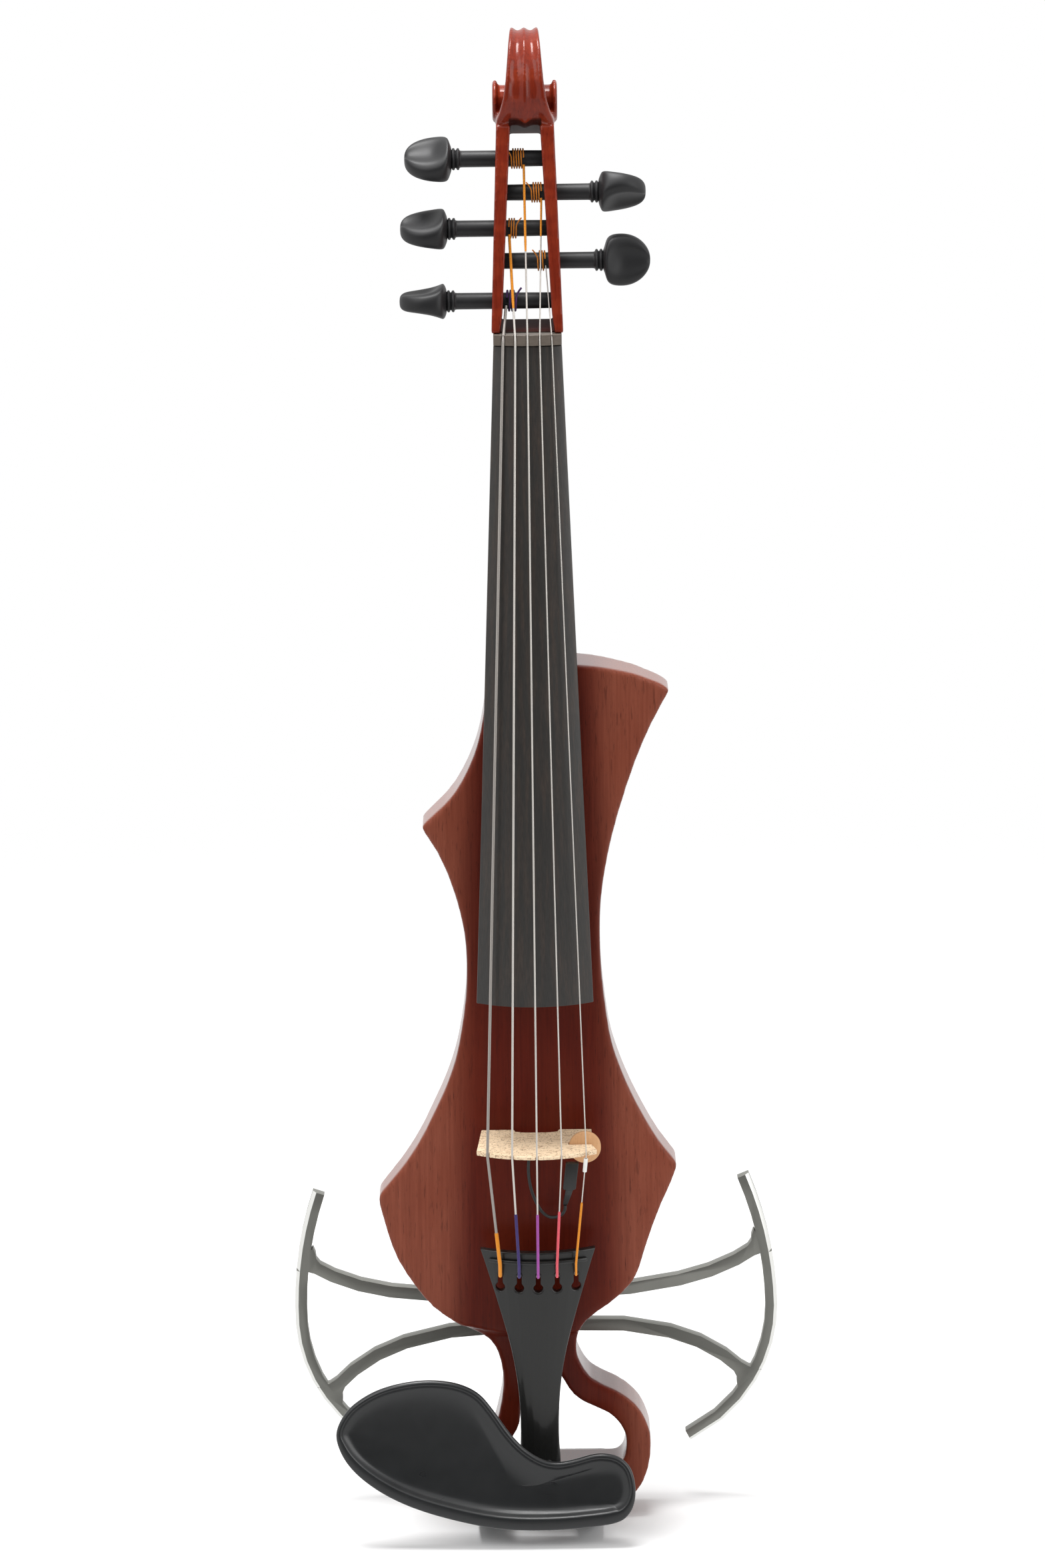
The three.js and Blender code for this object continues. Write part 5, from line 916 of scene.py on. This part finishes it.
bm = turned([(0.6, 0.95), (0.35, 0.95), (0.2, 1.05), (0.2, 2.3), (0.35, 2.65), (0.6, 2.8), (0.85, 2.7),
             (1.0, 2.3), (1.0, 0.95), (0.6, 0.95)], 40)
moved(swung(bm, -90, "Z"), lead_hole)
built(bm, "lead_grommet_moulded", soft_black, "black_plastic", ["lead_grommet"])

sleeve_way = (at_fret(4) - at_bridge(4)).normalized()
bm = turned([(0, 0.55), (0, 0.75), (0.1, 0.85), (5.9, 0.85), (6, 0.75), (6, 0.55), (0, 0.55)], 24)
bmesh.ops.rotate(bm, verts=bm.verts, cent=(0, 0, 0),
                 matrix=Vector((1, 0, 0)).rotation_difference(sleeve_way).to_matrix())
moved(bm, at_bridge(4) + 1.8 * sleeve_way)
white_tube = plastic("white_tube", paint(236, 236, 232), 0.3, 4e-6)
built(bm, "string_sleeve_cut", white_tube, "white_tube", ["string_sleeve"])


# Tailpiece
# An arched plate of black wood, wide at the strings with a raised fret and five keyholes, narrow at
# the gut. The gut loops over the ebony saddle round the end button in the tail bar.
def eased(bm, width):
    """The mesh of a CAD node with its sharp edges bevelled."""
    bmesh.ops.dissolve_limit(bm, angle_limit=radians(2), verts=bm.verts, edges=bm.edges,
                             use_dissolve_boundaries=False)
    sharp = [e for e in bm.edges if len(e.link_faces) == 2 and e.calc_face_angle(0) > radians(28)]
    return bevelled(bm, sharp, width * mm, 2)


def eased_copy(node, width, ending, material, slot, body="violin"):
    """Fits a copy of a CAD node with its sharp edges bevelled."""
    return fitted(eased(copied(node), width), f"{node}_{ending}", material, slot, [node], body=body)


tail_wood = black_wood("tail_wood", paint(26, 26, 25), 0.34, 0.35)
sanded_copy("tailpiece", 0.35, 5, "carved", tail_wood, "black_wood")
eased_copy("tailpiece_fret", 0.35, "filed", tail_wood, "ebony")
eased_copy("saddle", 0.3, "filed", ebony, "ebony")
sanded_copy("tailgut", 0.25, 6, "looped", soft_black, "black_plastic")
sanded_copy("end_button", 0.3, 8, "turned", peg_wood, "black_wood")


# Chin rest
# A dished plate of black moulded plastic with a rim that is thin at its top and broad at its foot. It
# reaches over the tailpiece's end on two pillars, which stand on the tail bar on two slips of cork.
chin_left = -83.5
chin_width = 122.3
chin_top_down = 423.3
chin_height = 62.6
chin_outline = [
    (0, 0.34), (0.035, 0.2), (0.09, 0.11), (0.16, 0.045), (0.26, 0.003), (0.345, 0), (0.42, 0.028),
    (0.48, 0.09), (0.528, 0.2), (0.584, 0.356), (0.635, 0.46), (0.692, 0.528), (0.737, 0.546),
    (0.785, 0.534), (0.875, 0.492), (0.94, 0.511), (0.98, 0.575), (0.998, 0.672), (1, 0.79), (0.985, 0.88),
    (0.95, 0.945), (0.83, 0.985), (0.69, 1), (0.545, 0.987), (0.4, 0.93), (0.256, 0.842), (0.148, 0.737),
    (0.062, 0.605), (0.016, 0.476),
]
# Rows of inset, share of the rim's width, scale towards the heart, and depth behind the rim.
chin_sections = [
    (4.4, 0, 0.5, 10.5), (4.4, 0, 0.8, 9.4), (4.2, 0, 0.94, 7.2), (1.4, 0, 1, 4.4), (0.35, 0, 1, 2.8),
    (0, 0, 1, 1.7), (0, 0.06, 1, 0.9), (0, 0.4, 1, 0.3), (0, 1, 1, 0), (0.5, 1, 1, 0.15), (0.9, 1, 1, 0.55),
    (1.5, 0.95, 1, 1.2), (2.5, 0.8, 1, 1.8), (4, 0.55, 1, 2.4), (5.6, 0.3, 1, 2.9), (6.3, 0.15, 0.94, 3.4),
    (6.6, 0, 0.82, 4), (6.6, 0, 0.55, 4.7), (6.6, 0, 0.28, 5),
]
chin_heart = Vector((-10.1, -471.5, 0))


def chin_rings():
    """Rings round the plate's outline. The plate leans forward to its foot, where its rim is wider."""
    places = [Vector((chin_left + chin_width * across, -chin_top_down - chin_height * down, 0))
              for across, down in chin_outline]
    line = through([places[-1], *places, places[0], places[1]], 4)[4:-5]
    rings = []
    for inset, rim_share, scale, depth in chin_sections:
        ring = []
        for before, place, after in zip([line[-1], *line], line, [*line[1:], line[0]]):
            along = (after - before).normalized()
            inward = Vector((along.y, -along.x, 0))
            rim = 1.3 + 3.4 * max(0, inward.y)
            spot = chin_heart.lerp(place + inward * (inset + rim_share * rim), scale)
            front = 0.13 * (spot.y + chin_top_down) - 26
            ring.append(Vector((spot.x, front + depth, spot.y)))
        rings.append(ring)
    return rings


def cut_plate(outline, thickness):
    """A plate across X: an outline of (back, height) drawn out, its edges eased."""
    bm = bmesh.new()
    corners = [bm.verts.new((0, back, height)) for back, height in outline]
    rim = [bm.edges.new((a, b)) for a, b in zip(corners, corners[1:] + corners[:1])]
    face = bmesh.ops.edgeloop_fill(bm, edges=rim)["faces"]
    made = bmesh.ops.extrude_face_region(bm, geom=face)["geom"]
    far_side = [g for g in made if isinstance(g, bmesh.types.BMVert)]
    bmesh.ops.translate(bm, vec=(thickness, 0, 0), verts=far_side)
    return bevelled(bm, bm.edges[:], 0.9)


pillar_out = 20
pillar_width = 12
pillar_side = [(-26.7, -471.3), (0.4, -471.3), (0.4, -493.4), (-10.6, -490.7), (-28.6, -483.7)]
stud_profile = [(0, 0), (0, 1.5), (9.5, 1.5), (10, 1.1), (10, 0)]
bm = worked(drawn_rings(chin_rings()), ("SUBSURF", {"levels": 1, "render_levels": 1}))
for side in (-1, 1):
    pillar = cut_plate(pillar_side, pillar_width)
    merged(bm, moved(pillar, (pillar_out * side - pillar_width / 2, 0, 0)))
    stud = swung(turned(stud_profile, 24), 90, "Z")
    merged(bm, moved(stud, (pillar_out * side, 0, -490.9)))
chin_plastic = plastic("chin_plastic", paint(37, 38, 39), 0.3, 2e-6)
built(bm, "chin_rest_moulded", chin_plastic, "black_plastic", ["chin_rest"], 50)

cork, shader, place = new_finish("pressed_cork")
crumbs = place.node("ShaderNodeTexVoronoi", {}, {"Vector": place, "Scale": 1.1}, 1)
dark_crumbs = between(mottle(place, 0.9, 3), 0.55, 0.7)
tone = crumbs.node("ShaderNodeSeparateColor", {}, {"Color": crumbs})
ground = blended(tone, paint(150, 108, 66), paint(206, 162, 110))
dress(shader, Base_Color=blended(dark_crumbs * 0.7, ground, paint(92, 60, 34)), Roughness=0.9,
      Specular_IOR_Level=0.2, Normal=relief(tone, 2e-4))

for side in ("left", "right"):
    eased_copy(f"chin_rest_cork_{side}", 0.2, "slip", cork, "cork")


# Clamp of the chin rest
# A plated foot with cork behind the tail bar, drawn in by two barrels, each with a left and a right
# thread and a hole for the key that turns it.
steel, shader, place = new_finish("plated_steel")
bright = paint(206, 206, 204)
brushed = mottle(place, (0.25, 4, 0.25), 3)
stains = mottle(place, 0.2, 3)
dress(shader, Base_Color=blended(stains * 0.5, bright, shade(bright, 0.7)), Metallic=1.0,
      Roughness=0.2 + 0.14 * stains, Normal=relief(brushed, 5e-6))

eased_copy("clamp_foot", 0.4, "pressed", steel, "steel", "foot")
eased_copy("clamp_cork", 0.25, "slip", cork, "cork", "foot")
for side in ("left", "right"):
    sanded_copy(f"clamp_barrel_{side}", 0.16, 6, "turned", steel, "steel", f"barrel_{side}")


# Shoulder frame
# A frame of cast aluminium behind the body: two wings bent to an arc, each on two curved arms that
# meet in an oval hub. The wings' outer front edges are cut at a slant and polished; faces that slant
# to the front are also painted much lighter, as a painted highlight.
aluminium, shader, place = new_finish("cast_aluminium")
grey = paint(146, 146, 140)
cloudy = mottle(place, 0.07, 3)
grit = mottle(place, 3.5, 3)
# Where a face slants to the front the metal is smoother and painted much lighter: a painted highlight.
polished = place.node("ShaderNodeAttribute", {"attribute_name": "polished"}, {}, 2)
clouded = blended(cloudy, grey, shade(grey, 0.8))
dress(shader, Base_Color=blended(polished, clouded, paint(232, 232, 228)), Metallic=0.85,
      Specular_IOR_Level=0.5, Roughness=0.42 + 0.1 * cloudy - 0.14 * polished,
      Normal=relief(grit, 1e-5))

frame_front = 30
frame_rim = 1.5
wing_reach = 100.6
wing_widest_up = -2
wing_upper_radius = 160
wing_lower_radius = 66
wings_from = 60
on_frame = on_violin @ Matrix.Translation((-0.9, 0, -410)) @ Matrix.Rotation(radians(-1.8), 4, "Y")
off_frame = on_frame.inverted()
bm = copied("shoulder_frame")
for corner in bm.verts:
    spot = off_frame @ corner.co
    radius = wing_upper_radius if spot.z > wing_widest_up else wing_lower_radius
    middle = Vector((wing_reach - radius, 0, wing_widest_up))
    way = Vector((abs(spot.x), 0, spot.z)) - middle
    farthest = radius - max(0, frame_rim - (spot.y - frame_front))
    if abs(spot.x) > wings_from and way.length > farthest + 0.02:
        flush = middle + way.normalized() * farthest
        corner.co = on_frame @ Vector((copysign(flush.x, spot.x), spot.y, flush.z))
bmesh.ops.remove_doubles(bm, verts=bm.verts, dist=0.1 * mm)
cast = fitted(eased(bm, 0.35), "shoulder_frame_cast", aluminium, "aluminium", ["shoulder_frame"])
# Faces slanting to the front are marked for the smoother polish and the painted highlight.
polished = cast.data.attributes.new("polished", "FLOAT", "FACE")
for share, face in zip(polished.data, cast.data.polygons):
    share.value = 1.0 if -0.97 < face.normal.y < -0.2 else 0.0
eased_copy("frame_riser", 0.3, "moulded", soft_black, "black_plastic")
for screw in [f"frame_screw_{i}" for i in (1, 2)] + [f"cover_screw_{i}" for i in (1, 2, 3, 4)]:
    eased_copy(screw, 0.12, "driven", steel, "steel")


# Control cover and battery lid
# A plate of black plastic let into the back, held by four screws, with a hinged lid over the battery
# on a steel pin.
cover_plastic = plastic("cover_plastic", paint(34, 34, 35), 0.5, 2e-5)
eased_copy("control_cover", 0.2, "moulded", cover_plastic, "black_plastic")
eased_copy("battery_lid", 0.2, "moulded", cover_plastic, "black_plastic", "lid")
pin_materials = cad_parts["battery_lid_pin"].data.materials
pin_materials.clear()
pin_materials.append(steel)


# Battery, board and controls
# Inside the back: a square battery with its snap, a green circuit board on four posts, and the
# volume and tone controls, whose knobs stand out through the cover.
board_green, shader, place = new_finish("board_green")
tracks = between(mottle(place, (0.5, 0.5, 0.12), 1), 0.5, 0.53)
dress(shader, Base_Color=blended(tracks, paint(24, 78, 44), paint(34, 104, 60)), Roughness=0.4,
      Specular_IOR_Level=0.5, Normal=relief(tracks, 3e-5))

battery_shell, shader, place = new_finish("battery_shell")
up = place.node("ShaderNodeSeparateXYZ", {}, {"Vector": place}, 2)
copper = between(up, -336, -335)
scratches = mottle(place, (0.4, 2.5, 0.4), 3)
dress(shader, Base_Color=blended(copper, paint(46, 46, 50), paint(176, 118, 70)), Metallic=0.6,
      Roughness=0.34 + 0.16 * scratches)

eased_copy("battery", 0.25, "fitted", battery_shell, "battery_case")
eased_copy("battery_snap", 0.25, "fitted", soft_black, "black_plastic")
eased_copy("preamp_board", 0.25, "fitted", board_green, "green_board")
for name in ("volume", "tone"):
    eased_copy(f"{name}_control", 0.25, "fitted", steel, "steel")
for name in ("volume", "tone"):
    sanded_copy(f"{name}_knob", 0.22, 4, "moulded", cover_plastic, "black_plastic", name)


# Output socket
# A 6.35 mm socket in the lower left edge: its barrel is let into the wood and held outside by a
# washer and a six-sided nut.
for node in ("output_jack", "jack_washer", "jack_nut"):
    eased_copy(node, 0.15, "turned", steel, "steel")


# Floor, background and light
# A white floor that fades into a white room, a broad lamp above to the left, one overhead, a weaker
# one to the right, and a dark cloth behind the camera that only the gloss of the surfaces sees.
def stage_finish(name):
    material = bpy.data.materials.new(name)
    material.use_nodes = True
    material.node_tree.nodes.clear()
    return material, Finish(material.node_tree.nodes.new("ShaderNodeTexCoord").outputs["Object"])


def shown(finish, kind="ShaderNodeOutputMaterial"):
    """Makes a finish the surface of its material or world."""
    feed(finish.socket.id_data.nodes.new(kind).inputs["Surface"], finish)


def laid_out(bm, name, material):
    """Makes an object of the stage."""
    mesh = written(bm, name)
    mesh.materials.append(material)
    return added(name, mesh)


material, place = stage_finish("floor_white")
flat_place = place.node("ShaderNodeVectorMath", {"operation": "MULTIPLY"}, {0: place, 1: (1, 1, 0)})
from_middle = flat_place.node("ShaderNodeVectorMath", {"operation": "LENGTH"}, {0: flat_place}, 1)
clear = between(from_middle, 0.35, 1.2)
seen = place.node("ShaderNodeLightPath")
paper = place.node("ShaderNodeBsdfDiffuse", {}, {"Color": (0.9, 0.9, 0.9, 1)})
glow = place.node("ShaderNodeEmission", {}, {"Color": (1, 1, 1, 1), "Strength": seen * 0.02})
lit_paper = place.node("ShaderNodeAddShader", {}, {0: paper, 1: glow})
gone = place.node("ShaderNodeBsdfTransparent")
faded = place.node("ShaderNodeMixShader", {}, {0: clear, 1: lit_paper, 2: gone})
under = place.node("ShaderNodeNewGeometry", {}, {}, 6)
shown(place.node("ShaderNodeMixShader", {}, {0: under, 1: faded, 2: gone}))
bm = bmesh.new()
round_face(bm, 64, 1.6)
floor = laid_out(moved(bm, (0, 0, cad_box[0][2] - 0.4 * mm)), "floor", material)
floor.visible_glossy = False

material, place = stage_finish("dark_cloth")
shown(place.node("ShaderNodeEmission", {}, {"Color": (0.03, 0.03, 0.03, 1), "Strength": 1.0}))
bm = bmesh.new()
bmesh.ops.create_grid(bm, x_segments=1, y_segments=1, size=1.0)
bmesh.ops.scale(bm, vec=(2.6, 1.9, 1), verts=bm.verts)
cloth = laid_out(moved(swung(bm, 90, "X"), (0, -3.2, 0.4)), "dark_cloth", material)
cloth.visible_camera = False
cloth.visible_diffuse = False
cloth.visible_shadow = False
cloth.visible_transmission = False

world = bpy.data.worlds.new("white_room")
world.use_nodes = True
bpy.context.scene.world = world
world.node_tree.nodes.clear()
seen = Finish(world.node_tree.nodes.new("ShaderNodeLightPath").outputs["Is Camera Ray"])
backdrop = seen + seen.other("Is Glossy Ray") + seen.other("Is Transmission Ray")
strength = between(backdrop, 0, 1) * 0.5 + 0.5
room = seen.node("ShaderNodeBackground", {}, {"Color": (1, 1, 1, 1), "Strength": strength})
shown(room, "ShaderNodeOutputWorld")


def softbox(name, place, target, size, watts):
    """A square lamp at a place, turned to a target, both in metres from the origin."""
    lamp = bpy.data.lights.new(name, "AREA")
    lamp.shape = "RECTANGLE"
    lamp.size, lamp.size_y = size
    lamp.energy = watts
    made = added(name, lamp)
    made.matrix_world = (Vector(target) - Vector(place)).to_track_quat("-Z", "Y").to_matrix().to_4x4()
    made.matrix_world.translation = place


softbox("lamp_above_left", (-1.2, -1.3, 1.3), (0, 0, -0.25), (1.4, 1.4), 17)
softbox("lamp_overhead", (-0.15, 0.0, 1.5), (0, 0, -0.6), (0.7, 0.7), 42)
softbox("lamp_right", (1.7, -0.9, 0.3), (0, 0, -0.25), (0.9, 1.6), 12)
bpy.context.scene.view_settings.view_transform = "Standard"
